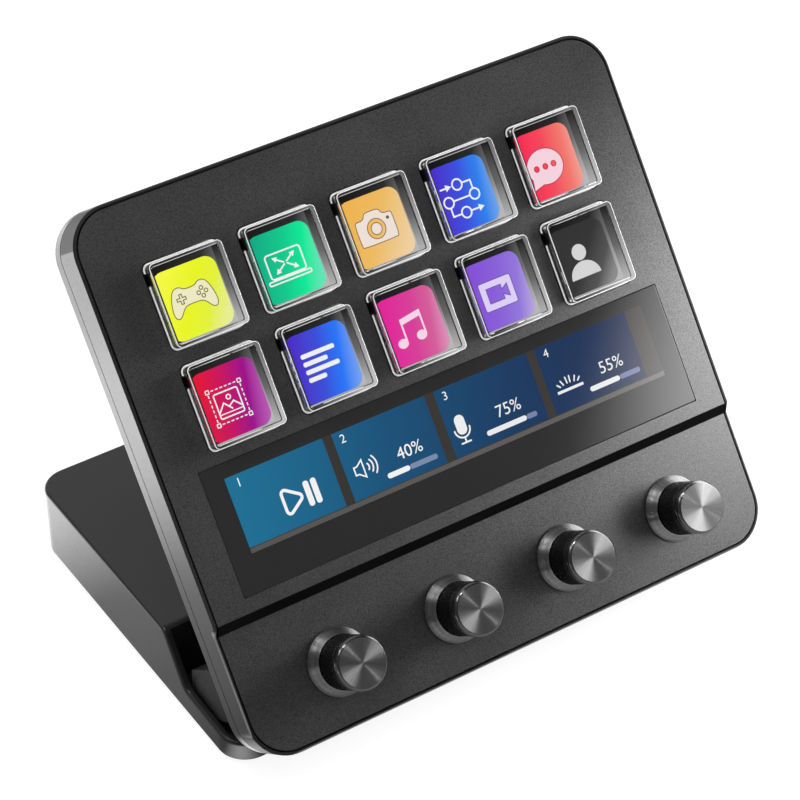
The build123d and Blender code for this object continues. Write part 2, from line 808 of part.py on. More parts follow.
def spindle_section(gap):
    """The round section with one flat, grown by a gap."""
    radius = spindle_radius + gap
    past_flat = Pos(0, spindle_flat + gap + radius) * Rectangle(2 * radius, 2 * radius)
    return Circle(radius) - past_flat


def rotor(x, y):
    """One encoder's turning disc, keyed to the spindle."""
    ring = Circle(rotor_radius) - spindle_section(spindle_running_fit)
    return Pos(x, y, rotor_low_z) * extrude(ring, rotor_thickness)


def spindle(x, y):
    """One knob's spindle: round in the bushing, with a collar under it and a flat at each end."""
    lower = Pos(0, 0, spindle_bottom_z) * extrude(spindle_section(0), collar_low_z - spindle_bottom_z)
    upper = Pos(0, 0, bushing_top_z) * extrude(spindle_section(0), spindle_top_z - bushing_top_z)
    neck = post(spindle_radius, collar_low_z, bushing_top_z)
    collar = post(spindle_collar_radius, collar_low_z, collar_top_z)
    return Pos(x, y, 0) * (lower + neck + upper + collar)


def knob(x, y):
    """One knob: a flared skirt, a groove and a sleeve, hollow over the nut."""
    groove_radius = knob_radius - knob_groove_depth
    body = turned([
        (0, knob_base_z),
        (knob_skirt_radius, knob_base_z),
        (knob_skirt_top_radius, knob_skirt_top_z),
        (groove_radius, knob_skirt_top_z),
        (groove_radius, knob_groove_top_z),
        (knob_radius, knob_groove_top_z),
        (knob_radius, knob_cap_base_z),
        (0, knob_cap_base_z),
    ], x, y)
    body -= post(knob_hollow_radius, knob_base_z, knob_base_z + knob_hollow_depth, x, y)
    body -= Pos(x, y, knob_base_z) * extrude(spindle_section(press_fit), knob_spigot_z - knob_base_z)
    body -= post(knob_cap_spigot_radius + press_fit, knob_spigot_z, knob_cap_base_z, x, y)
    return body


def knob_cap(x, y):
    """The bright disc on one knob, with a spigot under it."""
    return turned([
        (0, knob_spigot_z),
        (knob_cap_spigot_radius, knob_spigot_z),
        (knob_cap_spigot_radius, knob_cap_base_z),
        (knob_radius, knob_cap_base_z),
        (knob_radius, knob_top_z - knob_cap_chamfer),
        (knob_radius - knob_cap_chamfer, knob_top_z),
        (0, knob_top_z),
    ], x, y)


# ---- Write the base ----
write("base_shell", base_shell())
write("base_plate", base_plate())
write("rubber_pad", rubber_pad())
write("ballast", ballast())
write("base_screws", *[plate_screw(x, y, plate_screw_grip) for x, y in deck_screw_places],
      *[plate_screw(x, y, front_screw_grip) for x, y in front_screw_places])
write("ballast_screws", *[plate_screw(x, y, plate_screw_grip) for x, y in ballast_screw_places])
write_pair(write, "hinge_bracket", hinge_bracket())
write("bracket_screws", *[small_screw(leaf_top, bracket_leaf_thickness + small_screw_grip, x, y)
                          for x, y in bracket_screw_places])

# ---- Write the head ----
write_head("mid_frame", mid_frame())
write_head("face_plate", face_plate())
write_head("rear_cover", rear_cover())
write_head("touch_glass", touch_glass())
write_head("key_mat", key_mat())
write_head("light_guides", *[light_guide(x, y) for x, y in key_places])
write_head("lcd_panel", lcd_panel())
write_head("lcd_backlight", lcd_backlight())
write_head("main_board", main_board())
write_head("usb_socket", usb_socket())
write_head("encoder_board", encoder_board())
write_head("screen_ribbon", screen_ribbon())
write_head("link_ribbon", link_ribbon())
write_head("cover_screws", *[cover_screw(x, y) for x, y in corner_screw_places])
write_head("board_screws", *[small_screw(main_board_top_z, main_board_thickness + small_screw_grip,
                                         x, y) for x, y in board_screw_places])
write_head("encoder_washers", *[washer(x, y) for x, y in knob_places])
write_head("encoder_nuts", *[nut(x, y) for x, y in knob_places])
write_pair(write_head, "hinge_shaft", hinge_shaft())
write_pair(write_head, "hinge_cap", hinge_cap())

# ---- Write the keys and the knobs ----
for number, (x, y) in enumerate(key_places, start=1):
    write_head(f"keycap_{number}", keycap(x, y))
for number, (x, y) in enumerate(knob_places, start=1):
    write_head(f"encoder_{number}", encoder(x, y))
    write_head(f"rotor_{number}", rotor(x, y))
    write_head(f"spindle_{number}", spindle(x, y))
    write_head(f"knob_{number}", knob(x, y))
    write_head(f"knob_cap_{number}", knob_cap(x, y))
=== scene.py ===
import json
import math

import bmesh
import bpy
from mathutils import Matrix, Vector
from mathutils.geometry import tessellate_polygon


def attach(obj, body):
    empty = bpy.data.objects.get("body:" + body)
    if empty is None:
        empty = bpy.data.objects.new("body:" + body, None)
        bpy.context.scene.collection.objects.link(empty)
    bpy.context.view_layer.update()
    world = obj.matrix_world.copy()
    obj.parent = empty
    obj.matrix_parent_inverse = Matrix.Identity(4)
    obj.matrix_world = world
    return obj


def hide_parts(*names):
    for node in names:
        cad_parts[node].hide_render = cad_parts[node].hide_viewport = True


# Macro keypad with knobs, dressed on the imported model. Sizes are millimetres, except those of the
# studio, which are metres. What belongs to the head is drawn in the head's own frame: its origin
# is on the hinge axis, with +Y up the panel and +Z out of its face.

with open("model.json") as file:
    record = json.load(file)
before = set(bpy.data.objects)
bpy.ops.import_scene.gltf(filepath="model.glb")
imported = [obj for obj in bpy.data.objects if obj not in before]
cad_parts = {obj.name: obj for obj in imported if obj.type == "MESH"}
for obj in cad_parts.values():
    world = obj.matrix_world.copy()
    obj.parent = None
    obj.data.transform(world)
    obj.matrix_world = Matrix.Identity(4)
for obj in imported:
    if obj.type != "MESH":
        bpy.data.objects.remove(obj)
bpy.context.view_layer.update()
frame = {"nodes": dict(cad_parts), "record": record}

MM = 0.001

# ---- Sizes shared with the CAD, in the head's frame ----
HINGE_PLACE = (0, -0.03045, 0.009)
TILT = 52.5
HEAD = Matrix.Translation(HINGE_PLACE) @ Matrix.Rotation(math.radians(TILT), 4, "X")
STEP_Y = (15.1, 17.5)
RIM_INSIDE_X = (-69.9, 69.9)
RIM_INSIDE_Y = (-15.35, 111.35)
LOWER_RIM_Y = (-20.0, 16.6)
LOWER_RIM_Z = (25.25, 28.0)
LUG_Y = (-12.0, 12.0)
LUG_Z = (-10.0, 12.5)
KEY_PITCH = (23.7, 23.5)
FIRST_KEY = (-47.4, 86.4)
KEY_COLUMNS = 5
KNOB_PITCH = 30.85
FIRST_KNOB = (-44.875, -0.75)
KNOB_COUNT = 4
STRIP_CENTRE = (0.5, 35.5)
STRIP_SIZE = (123.1, 29.2)
STRIP_LOW, STRIP_HIGH = 26.5, 27.6
GUIDE_SIZE = 15.8
GUIDE_LOW, GUIDE_TOP = 23.2, 26.2
GUIDE_DROP = 0.75


# ---- Shader nodes ----
def node(tree, kind, inputs=None, **settings):
    """Adds a shader node. An input takes a value, or the socket that it is linked to."""
    made = tree.nodes.new("ShaderNode" + kind)
    for key, value in settings.items():
        setattr(made, key, value)
    for key, value in (inputs or {}).items():
        if isinstance(value, bpy.types.NodeSocket):
            tree.links.new(value, made.inputs[key])
        else:
            made.inputs[key].default_value = value
    return made


def math_node(tree, operation, *values):
    """The result of a Math node."""
    return node(tree, "Math", dict(enumerate(values)), operation=operation).outputs[0]


def new_material(name):
    """A material with an empty node tree."""
    material = bpy.data.materials.new(name)
    material.use_nodes = True
    material.node_tree.nodes.clear()
    return material, material.node_tree


def linear(*srgb):
    """A colour given as 0 to 255 sRGB values, as the shader wants it."""
    def one(value):
        value /= 255
        return value / 12.92 if value <= 0.04045 else ((value + 0.055) / 1.055) ** 2.4
    return (*[one(value) for value in srgb], 1)


def grey(value):
    """An opaque linear grey."""
    return (value, value, value, 1)


def object_place(tree, stretch=(1, 1, 1)):
    """Object coordinates in metres, scaled per axis."""
    place = node(tree, "TexCoord").outputs["Object"]
    return node(tree, "VectorMath", {0: place, 1: stretch}, operation="MULTIPLY").outputs[0]


def noise(tree, place, scale, detail=2.0):
    """A noise value about 0.5."""
    return node(tree, "TexNoise", {"Vector": place, "Scale": scale, "Detail": detail}).outputs[0]


def ranged(tree, value, low, high, at_low=0.0, at_high=1.0, **settings):
    """A value carried over from one range to another, and held at the ends."""
    return node(tree, "MapRange", {0: value, 1: low, 2: high, 3: at_low, 4: at_high},
                **settings).outputs[0]


def spread(tree, value, low, high):
    """A noise value carried over to a range."""
    return ranged(tree, value, 0.3, 0.7, low, high)


def fill_ramp(ramp, stops):
    """Gives a colour ramp its (position, colour) stops."""
    elements = ramp.color_ramp.elements
    while len(elements) < len(stops):
        elements.new(0.5)
    for element, (position, colour) in zip(elements, stops):
        element.position = position
        element.color = colour


def head_place(tree):
    """The place on a CAD piece of the head, in the head's frame and millimetres: x, y and z."""
    place = node(tree, "VectorMath", {0: node(tree, "TexCoord").outputs["Object"],
                                      1: HEAD.translation}, operation="SUBTRACT").outputs[0]
    return [node(tree, "VectorMath", {0: place, 1: HEAD.col[i].xyz / MM},
                 operation="DOT_PRODUCT").outputs["Value"] for i in range(3)]


def between(tree, value, low, high, soft=0.08):
    """1 where a value lies between two limits, and 0 elsewhere."""
    return math_node(tree, "MULTIPLY", ranged(tree, value, low - soft, low + soft),
                     ranged(tree, value, high + soft, high - soft))


def shaded_ledge(tree):
    """The sloping step across the face plate, which is painted darker and duller than the rest, as
    painted shade.
    """
    return between(tree, head_place(tree)[1], *STEP_Y)


def rim_top(tree):
    """What lies inside the fine chamfer round the head's front edge, which is painted dark and
    dull, as painted shade of the gap round the face plate.
    """
    x, y, _ = head_place(tree)
    return math_node(tree, "MULTIPLY", between(tree, x, *RIM_INSIDE_X, 0.03),
                     between(tree, y, *RIM_INSIDE_Y, 0.03))


def rim_edge_highlight(tree):
    """The fine chamfer round the head's front edge, from the step down, which is given a bright
    metal colour as a painted highlight line.
    """
    outside = math_node(tree, "SUBTRACT", 1.0, rim_top(tree))
    _, y, z = head_place(tree)
    lower = math_node(tree, "MULTIPLY", between(tree, y, *LOWER_RIM_Y, 0.3),
                      between(tree, z, *LOWER_RIM_Z, 0.04))
    return math_node(tree, "MULTIPLY", outside, lower)


def shaded_lug(tree):
    """The hinge lugs, which stand in the tray; they are painted darker and duller, as painted shade
    of the tray.
    """
    _, y, z = head_place(tree)
    return math_node(tree, "MULTIPLY", between(tree, y, *LUG_Y, 0.5),
                     between(tree, z, *LUG_Z, 0.3))


BROAD_SCALE = 40
BROAD_SHARE = 1 / 8
# The roughness of a part in painted shade, and the bright metal colour of a painted highlight.
SHADE_ROUGHNESS = 0.6
HIGHLIGHT_METAL = grey(0.4)


def textured(name, colour, roughness, metallic=0.0, grain=2500.0, depth=0.01, mottle=0.12,
             rough_mottle=0.08, stretch=(1, 1, 1), painted_shade=None, shade_colour=0.004, painted_highlight=None,
             **constants):
    """A finish with grain: noise varies its colour and roughness and raises its surface.
    grain is the fine noise's scale per metre, and depth is in millimetres. A mask for painted shade
    makes a part dark and dull, and a mask for a painted highlight gives a part a bright metal
    colour."""
    material, tree = new_material(name)
    place = object_place(tree, stretch)
    fine = noise(tree, place, grain)
    broad = noise(tree, place, grain / BROAD_SCALE, 3.0)
    broad_mottle, broad_rough = mottle * BROAD_SHARE, rough_mottle * BROAD_SHARE
    tone = math_node(tree, "MULTIPLY", spread(tree, fine, 1 - mottle, 1 + mottle),
                     spread(tree, broad, 1 - broad_mottle, 1 + broad_mottle))
    tint = node(tree, "VectorMath", {0: colour[:3], "Scale": tone}, operation="SCALE").outputs[0]
    rough = math_node(tree, "ADD", spread(tree, fine, -rough_mottle, rough_mottle),
                      spread(tree, broad, roughness - broad_rough, roughness + broad_rough))
    # Painted shade: the masked part is darkened and dulled.
    if painted_shade:
        share = painted_shade(tree)
        tint = node(tree, "Mix", {0: share, 6: tint, 7: grey(shade_colour)},
                    data_type="RGBA").outputs[2]
        rough = node(tree, "Mix", {0: share, 2: rough, 3: SHADE_ROUGHNESS}).outputs[0]
    # Painted highlight: the masked part turns to bright metal, so that it shows a highlight line.
    if painted_highlight:
        metallic = painted_highlight(tree)
        tint = node(tree, "Mix", {0: metallic, 6: tint, 7: HIGHLIGHT_METAL},
                    data_type="RGBA").outputs[2]
    bump = node(tree, "Bump", {"Height": fine, "Distance": depth * MM}).outputs[0]
    values = {"Base Color": tint, "Roughness": rough, "Metallic": metallic, "Normal": bump}
    shader = node(tree, "BsdfPrincipled", {**values, **constants})
    node(tree, "OutputMaterial", {"Surface": shader.outputs[0]})
    return material


def spun_metal(name, colour, roughness, anisotropy, rays=0.0):
    """A metal turned on a lathe about its own Z axis: rings vary its roughness, and fine rays
    from its centre vary its tone."""
    material, tree = new_material(name)
    place = object_place(tree, (1, 1, 0))
    radius = node(tree, "VectorMath", {0: place}, operation="LENGTH").outputs["Value"]
    rings = node(tree, "TexNoise", {"W": radius, "Scale": 9000.0, "Detail": 2.0},
                 noise_dimensions="1D").outputs[0]
    way = node(tree, "VectorMath", {0: place}, operation="NORMALIZE").outputs[0]
    tone = math_node(tree, "MULTIPLY", spread(tree, rings, 0.94, 1.06),
                     spread(tree, noise(tree, way, 14.0, 4.0), 1 - rays, 1 + rays))
    tint = node(tree, "VectorMath", {0: colour[:3], "Scale": tone}, operation="SCALE").outputs[0]
    rough = spread(tree, rings, roughness - 0.04, roughness + 0.04)
    tangent = node(tree, "Tangent", direction_type="RADIAL", axis="Z").outputs[0]
    shader = node(tree, "BsdfPrincipled", {
        "Base Color": tint, "Metallic": 1.0, "Roughness": rough, "Anisotropic": anisotropy,
        "Anisotropic Rotation": 0.25, "Tangent": tangent})
    node(tree, "OutputMaterial", {"Surface": shader.outputs[0]})
    return material


def clear(name, colour, roughness, ior, haze=0.0, glow=0.0):
    """A clear plastic, with a faint unevenness in its polish. haze makes it cloudy, and glow makes
    it give out light of its own, as a painted glow."""
    material, tree = new_material(name)
    place = object_place(tree)
    rough = spread(tree, noise(tree, place, 400.0), roughness * 0.6, roughness * 1.4)
    bump = node(tree, "Bump", {"Height": noise(tree, place, 120.0), "Distance": 0.004 * MM})
    shader = node(tree, "BsdfPrincipled", {
        "Base Color": colour, "Roughness": rough, "IOR": ior,
        "Transmission Weight": 1.0 - haze, "Normal": bump.outputs[0],
        "Emission Color": colour, "Emission Strength": glow})
    node(tree, "OutputMaterial", {"Surface": shader.outputs[0]})
    return material


def lit_picture(name, stops, direction=(1, 0), reach=8.4, strength=1.0, grid=0.03, **constants):
    """A lit part of the screen, or a painted glow on another part: a run of colours along a
    direction, over a faint pixel pattern.
    stops are (position, colour) pairs, and reach is half the run's length."""
    material, tree = new_material(name)
    place = node(tree, "TexCoord").outputs["Object"]
    aim = Vector((*direction, 0)).normalized()
    along = node(tree, "VectorMath", {0: place, 1: aim}, operation="DOT_PRODUCT").outputs["Value"]
    ramp = node(tree, "ValToRGB", {0: ranged(tree, along, -reach * MM, reach * MM)})
    fill_ramp(ramp, stops)
    pixels = spread(tree, noise(tree, place, 6000.0), 1 - grid, 1 + grid)
    tint = node(tree, "VectorMath", {0: ramp.outputs[0], "Scale": pixels}, operation="SCALE")
    shader = node(tree, "BsdfPrincipled", {
        "Base Color": grey(0.01), "Roughness": 0.4, "Specular IOR Level": 0.0,
        "Emission Color": tint.outputs[0], "Emission Strength": strength, **constants})
    node(tree, "OutputMaterial", {"Surface": shader.outputs[0]})
    return material


# ---- Meshes ----
def rounded(width, height, radius, x=0.0, y=0.0, steps=6):
    """A rounded rectangle's outline."""
    points = []
    for turn, (sx, sy) in enumerate([(1, 1), (-1, 1), (-1, -1), (1, -1)]):
        for step in range(steps + 1):
            angle = math.radians(90 * (turn + step / steps))
            points.append((x + sx * (width / 2 - radius) + radius * math.cos(angle),
                           y + sy * (height / 2 - radius) + radius * math.sin(angle)))
    return points


def arc(x, y, radius, start, end, steps=24):
    """Points along an arc, with its angles in degrees."""
    angles = [math.radians(start + (end - start) * i / steps) for i in range(steps + 1)]
    return [(x + radius * math.cos(a), y + radius * math.sin(a)) for a in angles]


def disc(x, y, radius):
    """A full circle's outline."""
    return arc(x, y, radius, 0, 360, 40)[:-1]


def stroke(points, width, closed=False):
    """The loops around a line of some width: two if it is closed, else one with round ends."""
    half, left, right = width / 2, [], []
    places = [Vector(point) for point in points]
    for i, here in enumerate(places):
        before = places[i - 1] if closed or i else None
        after = places[(i + 1) % len(places)] if closed or i < len(places) - 1 else None
        came = (here - before).normalized() if before else (after - here).normalized()
        goes = (after - here).normalized() if after else came
        middle = (came + goes).normalized()
        side = Vector((-middle.y, middle.x)) * (half / max(0.4, middle.dot(came)))
        left.append(tuple(here + side))
        right.append(tuple(here - side))
    if closed:
        return [left, right]
    end = math.degrees(math.atan2(*(places[-1] - places[-2]).yx))
    start = math.degrees(math.atan2(*(places[1] - places[0]).yx))
    return [left + arc(*points[-1], half, end + 80, end - 80, 8) + right[::-1]
            + arc(*points[0], half, start - 100, start - 260, 8)]


def prism(mesh, loops, low, high, finish=0):
    """Adds a flat closed shape between two levels: an outline, and any holes in it."""
    triangles = tessellate_polygon([[Vector((x, y, 0)) for x, y in loop] for loop in loops])
    bottom, top = [[mesh.verts.new((x * MM, y * MM, z * MM)) for loop in loops for x, y in loop]
                   for z in (low, high)]
    faces = [mesh.faces.new([level[i] for i in triangle])
             for level in (bottom, top) for triangle in triangles]
    first = 0
    for loop in loops:
        for i in range(len(loop)):
            a, b = first + i, first + (i + 1) % len(loop)
            faces.append(mesh.faces.new((bottom[a], bottom[b], top[b], top[a])))
        first += len(loop)
    for face in faces:
        face.material_index = finish


def lettering(mesh, text, size, x, y, low, high, finish):
    """Adds a plain number, with its lower left corner at a point."""
    curve = bpy.data.curves.new("number", "FONT")
    curve.body = text
    curve.size = size * MM
    curve.resolution_u = 4
    curve.extrude = (high - low) / 2 * MM
    holder = bpy.data.objects.new("number", curve)
    bpy.context.collection.objects.link(holder)
    data = bpy.data.meshes.new_from_object(holder.evaluated_get(
        bpy.context.evaluated_depsgraph_get()))
    data.transform(Matrix.Translation((x * MM, y * MM, (low + high) / 2 * MM)))
    known = len(mesh.faces)
    mesh.from_mesh(data)
    mesh.faces.ensure_lookup_table()
    for face in mesh.faces[known:]:
        face.material_index = finish
    bpy.data.objects.remove(holder)
    bpy.data.curves.remove(curve)
    bpy.data.meshes.remove(data)


def stack(mesh, rings, finishes, ends=True):
    """Joins loops of points, all of one length, with faces. The bands between them take their
    finishes in turn. The first and last loops are capped, or else joined to each other."""
    loops = [[mesh.verts.new([c * MM for c in point]) for point in points] for points in rings]
    bands = list(zip(loops, loops[1:])) + ([] if ends else [(loops[-1], loops[0])])
    for (low, high), finish in zip(bands, finishes):
        for i in range(len(low)):
            j = (i + 1) % len(low)
            mesh.faces.new((low[i], low[j], high[j], high[i])).material_index = finish
    if ends:
        mesh.faces.new(loops[0]).material_index = finishes[0]
        mesh.faces.new(loops[-1]).material_index = finishes[-1]


def mesh_data(name, mesh, finishes, smooth=False, sharp=35):
    """A Blender mesh from a finished bmesh, shaded smooth up to an angle if asked."""
    bmesh.ops.remove_doubles(mesh, verts=mesh.verts, dist=1e-9)
    bmesh.ops.recalc_face_normals(mesh, faces=mesh.faces)
    data = bpy.data.meshes.new(name)
    mesh.to_mesh(data)
    mesh.free()
    for finish in finishes:
        data.materials.append(finish)
    if smooth:
        data.shade_smooth()
        data.set_sharp_from_angle(angle=math.radians(sharp))
    return data


def piece(name, data, place, body, slot, *replaced):
    """Puts a piece in place on its CAD body, and hides the CAD nodes that it stands for."""
    made = bpy.data.objects.new(name, data)
    bpy.context.collection.objects.link(made)
    made.matrix_world = place
    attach(made, body)
    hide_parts(*replaced)


def head_at(x, y):
    """The head's frame, moved along its face."""
    return HEAD @ Matrix.Translation((x * MM, y * MM, 0))


# ---- Finishes ----
GLASS_GLOSS = {"Specular IOR Level": 0.0, "Coat Weight": 1.0, "Coat Roughness": 0.12,
               "Coat IOR": 1.6}
DULL_AT_EDGE = {"Specular Tint": grey(0.05)}
SATIN = {"grain": 2600.0, "depth": 0.003, "mottle": 0.15, "rough_mottle": 0.04}
SATIN_COLOUR, SATIN_ROUGHNESS = grey(0.016), 0.36
SLOT_FINISHES = {
    # The face plate's sloping step is painted darker and duller, as painted shade.
    "face": textured("powder_coat", grey(0.130), 0.37, 0.8, grain=3400.0, depth=0.030,
                     mottle=0.35, rough_mottle=0.08, painted_shade=shaded_ledge, shade_colour=0.012,
                     **DULL_AT_EDGE),
    "shell": textured("satin_plastic", SATIN_COLOUR, SATIN_ROUGHNESS, **SATIN),
    "silicone": textured("black_silicone", grey(0.008), 0.6, grain=1800.0),
    "screen": textured("dark_screen", (0.006, 0.006, 0.007), 0.15, grain=5000.0, depth=0.0005),
    "backlight": textured("diffuser_film", grey(0.80), 0.5, grain=1500.0),
    "board": textured("solder_mask", (0.012, 0.10, 0.045), 0.35, grain=900.0, depth=0.02,
                      mottle=0.35),
    "steel": textured("zinc_steel", (0.55, 0.55, 0.57), 0.34, 1.0, grain=1400.0,
                      stretch=(1, 12, 1)),
    "black_steel": textured("black_oxide", (0.045, 0.045, 0.048), 0.42, 1.0, grain=1600.0),
    "brass": textured("turned_brass", (0.70, 0.56, 0.30), 0.3, 1.0, grain=1500.0),
    "ribbon": textured("amber_film", (0.42, 0.20, 0.04), 0.4, grain=700.0, stretch=(8, 1, 1)),
    "pad": textured("pad_rubber", grey(0.018), 0.75, grain=1400.0, depth=0.03),
    "black_metal": textured("knurl_black", (0.07, 0.07, 0.071), 0.26, 1.0, grain=2200.0,
                            depth=0.002),
    "bright_metal": spun_metal("spun_grey", grey(0.36), 0.43, 1.0, 0.15),
    "glass": textured("black_glass", grey(0.026), 0.5, grain=4000.0, depth=0.0, **GLASS_GLOSS),
    "clear_plastic": clear("clear_cap", (1, 1, 1, 1), 0.015, 1.49),
}
# Painted light on the frame: inside its chamfer it is darkened and dulled, as painted shade of the
# gap round the face plate, and its chamfer from the step down has a bright metal colour, as a
# painted highlight line.
FRAME_PLASTIC = textured("frame_plastic", SATIN_COLOUR, SATIN_ROUGHNESS, painted_shade=rim_top,
                         painted_highlight=rim_edge_highlight, **SATIN)
# Painted shade: the cover's hinge lugs are darkened and dulled, for the shade of the tray they
# stand in.
COVER_PLASTIC = textured("cover_plastic", SATIN_COLOUR, SATIN_ROUGHNESS, painted_shade=shaded_lug,
                         shade_colour=0.006, **SATIN)
HINGE_CAP_PLASTIC = textured("hinge_cap_plastic", grey(0.010), 0.55, grain=2600.0)
SKIRT_METAL = spun_metal("skirt_metal", grey(0.48), 0.34, 0.9, 0.15)
BAND_METAL = textured("band_metal", grey(0.16), 0.20, 1.0, grain=2200.0, depth=0.001)
# Painted highlight: the caps' bevels and step are clouded white and glow, for the bright lines of
# light along their edges.
CAP_EDGE_HIGHLIGHT = clear("clear_cap_edge_highlight", (1, 1, 1, 1), 0.25, 1.49, haze=0.7, glow=0.27)
LINER_OUTSIDE = textured("liner_black", grey(0.004), 0.5, grain=3000.0)
# Painted light: the inside of each cap's liner glows, bright at its lower end and dark at its top,
# standing in for the light that falls into the cap.
LINER_PAINTED_LIGHT = lit_picture(
    "liner_painted_light", [(0, grey(0.45)), (0.45, grey(0.14)), (1, grey(0.01))], (0, 1), 8.6)
# Painted light: a ring round each picture glows, dark at its upper left and bright at its lower
# right, standing in for the light and sheen seen inside the clear cap.
SURROUND_PAINTED_LIGHT = lit_picture(
    "surround_painted_light", [(0, grey(0.004)), (0.5, grey(0.02)), (0.75, grey(0.16)), (1, grey(0.50))],
    (1, -0.6), 9.5)
# Painted light: the underside of each cap's flange glows, brighter towards its lower right.
UNDERSIDE_PAINTED_LIGHT = lit_picture(
    "underside_painted_light", [(0, grey(0.015)), (0.45, grey(0.04)), (0.75, grey(0.20)), (1, grey(0.55))],
    (1, -0.45), 11.0)

for part in frame["record"]["subparts"]:
    held = frame["nodes"][part["node"]].data
    held.materials.clear()
    held.materials.append(SLOT_FINISHES[part["material_slot"]])
frame["nodes"]["mid_frame"].data.materials[0] = FRAME_PLASTIC
frame["nodes"]["rear_cover"].data.materials[0] = COVER_PLASTIC
for cap in ("hinge_cap_left", "hinge_cap_right"):
    frame["nodes"][cap].data.materials[0] = HINGE_CAP_PLASTIC


# ---- Keys ----
# EDGE bands take the painted highlight of the caps' bevels and step, and UNDER bands the painted
# glow under the flange.
CLEAR, EDGE, UNDER = 0, 1, 2
# From the top face out and down to the flange, then up inside to the ceiling. Each row has a
# ring's width, height, corner radius and level, and the finish of the band that follows it.
KEYCAP_PROFILE = (
    (17.40, 18.70, 0.90, 30.80, CLEAR), (17.62, 18.92, 1.01, 30.80, EDGE),
    (17.82, 19.12, 1.11, 30.77, EDGE), (17.95, 19.25, 1.17, 30.70, EDGE),
    (18.00, 19.30, 1.20, 30.58, CLEAR), (18.00, 19.30, 1.20, 27.88, EDGE),
    (18.70, 20.00, 1.55, 27.80, CLEAR), (18.70, 20.00, 1.55, 25.30, CLEAR),
    (20.60, 21.90, 2.50, 25.30, CLEAR), (20.60, 21.90, 2.50, 24.50, UNDER),
    (16.60, 17.90, 0.60, 24.50, CLEAR), (16.60, 17.90, 0.60, 29.46, CLEAR),
    (16.30, 17.60, 0.45, 29.60, CLEAR), (16.10, 17.40, 0.35, 29.60, CLEAR))
NOTCH_SIZE, NOTCH_RADIUS = (3.0, 3.1), 0.5
NOTCH_PLACE = (-10.35, 6.5)
NOTCH_LEVELS = (24.0, 28.3)


def keycap_mesh():
    """A clear cap: a hollow shell with rounded upper edges, a stepped skirt and a flange."""
    rings = [[(x, y, z) for x, y in rounded(width, height, radius)]
             for width, height, radius, z, _ in KEYCAP_PROFILE]
    mesh = bmesh.new()
    stack(mesh, rings, [finish for *_, finish in KEYCAP_PROFILE])
    return mesh_data("keycap", mesh, [SLOT_FINISHES["clear_plastic"], CAP_EDGE_HIGHLIGHT, UNDERSIDE_PAINTED_LIGHT],
                     smooth=True)


def cut_notch(data):
    """Takes the notch out of the cap's left side, near its top."""
    cutter_mesh = bmesh.new()
    prism(cutter_mesh, [rounded(*NOTCH_SIZE, NOTCH_RADIUS, *NOTCH_PLACE)], *NOTCH_LEVELS)
    cutter = bpy.data.objects.new("cutter", mesh_data("cutter", cutter_mesh, []))
    holder = bpy.data.objects.new("holder", data)
    for made in (cutter, holder):
        bpy.context.collection.objects.link(made)
    cut = holder.modifiers.new("notch", "BOOLEAN")
    cut.object = cutter
    cut.operation = "DIFFERENCE"
    cut.solver = "EXACT"
    result = bpy.data.meshes.new_from_object(holder.evaluated_get(
        bpy.context.evaluated_depsgraph_get()))
    for made in (cutter, holder):
        bpy.data.objects.remove(made)
    return result


# Each key's picture: the direction in which its ground's colours run, and the colours in sRGB.
# Each ground grows paler towards its lower right end: partly its own colours, and partly a painted
# reflection of the light on the clear cap.
PICTURE_COLOURS = {
    1: ((1, -0.6), [(0, (252, 255, 66)), (0.45, (240, 252, 28)), (0.75, (234, 248, 60)),
                    (1, (238, 244, 150))]),
    2: ((1, -0.3), [(0, (0, 172, 134)), (0.45, (0, 206, 144)), (0.75, (0, 240, 156)),
                    (1, (100, 236, 188))]),
    3: ((1, -0.6), [(0, (246, 184, 80)), (0.5, (244, 192, 100)), (1, (246, 214, 164))]),
    4: ((1, -0.15), [(0, (78, 32, 200)), (0.45, (60, 80, 230)), (0.75, (46, 132, 244)),
                     (1, (124, 176, 240))]),
    5: ((1, -0.1), [(0, (255, 24, 84)), (0.45, (252, 74, 94)), (0.75, (250, 122, 112)),
                    (1, (248, 174, 160))]),
    6: ((1, -0.2), [(0, (236, 8, 34)), (0.4, (206, 4, 94)), (0.75, (158, 0, 142)),
                    (1, (190, 90, 188))]),
    7: ((1, -0.2), [(0, (78, 30, 198)), (0.45, (58, 78, 222)), (0.75, (36, 120, 255)),
                    (1, (120, 166, 248))]),
    8: ((1, -0.2), [(0, (234, 20, 158)), (0.5, (222, 62, 156)), (0.78, (218, 96, 158)),
                    (1, (226, 152, 192))]),
    9: ((1, -0.3), [(0, (134, 76, 220)), (0.5, (142, 100, 222)), (0.78, (152, 122, 226)),
                    (1, (186, 168, 230))]),
    10: ((1, -0.8), [(0, (50, 50, 50)), (0.5, (52, 52, 52)), (0.8, (86, 86, 86)),
                     (1, (140, 140, 140))]),
}
# The colours of a symbol and of the thin lines on it.
SYMBOL_TONES = {1: ((246, 240, 200), (104, 104, 62)), 3: ((244, 232, 222), (120, 80, 60)),
                5: ((252, 218, 230), (176, 36, 76)), 8: ((252, 220, 238), (176, 60, 130)),
                9: ((228, 214, 252), (96, 70, 170)), 10: ((220, 220, 220), (90, 90, 90))}
PLAIN_TONES = ((246, 246, 246), (104, 104, 104))
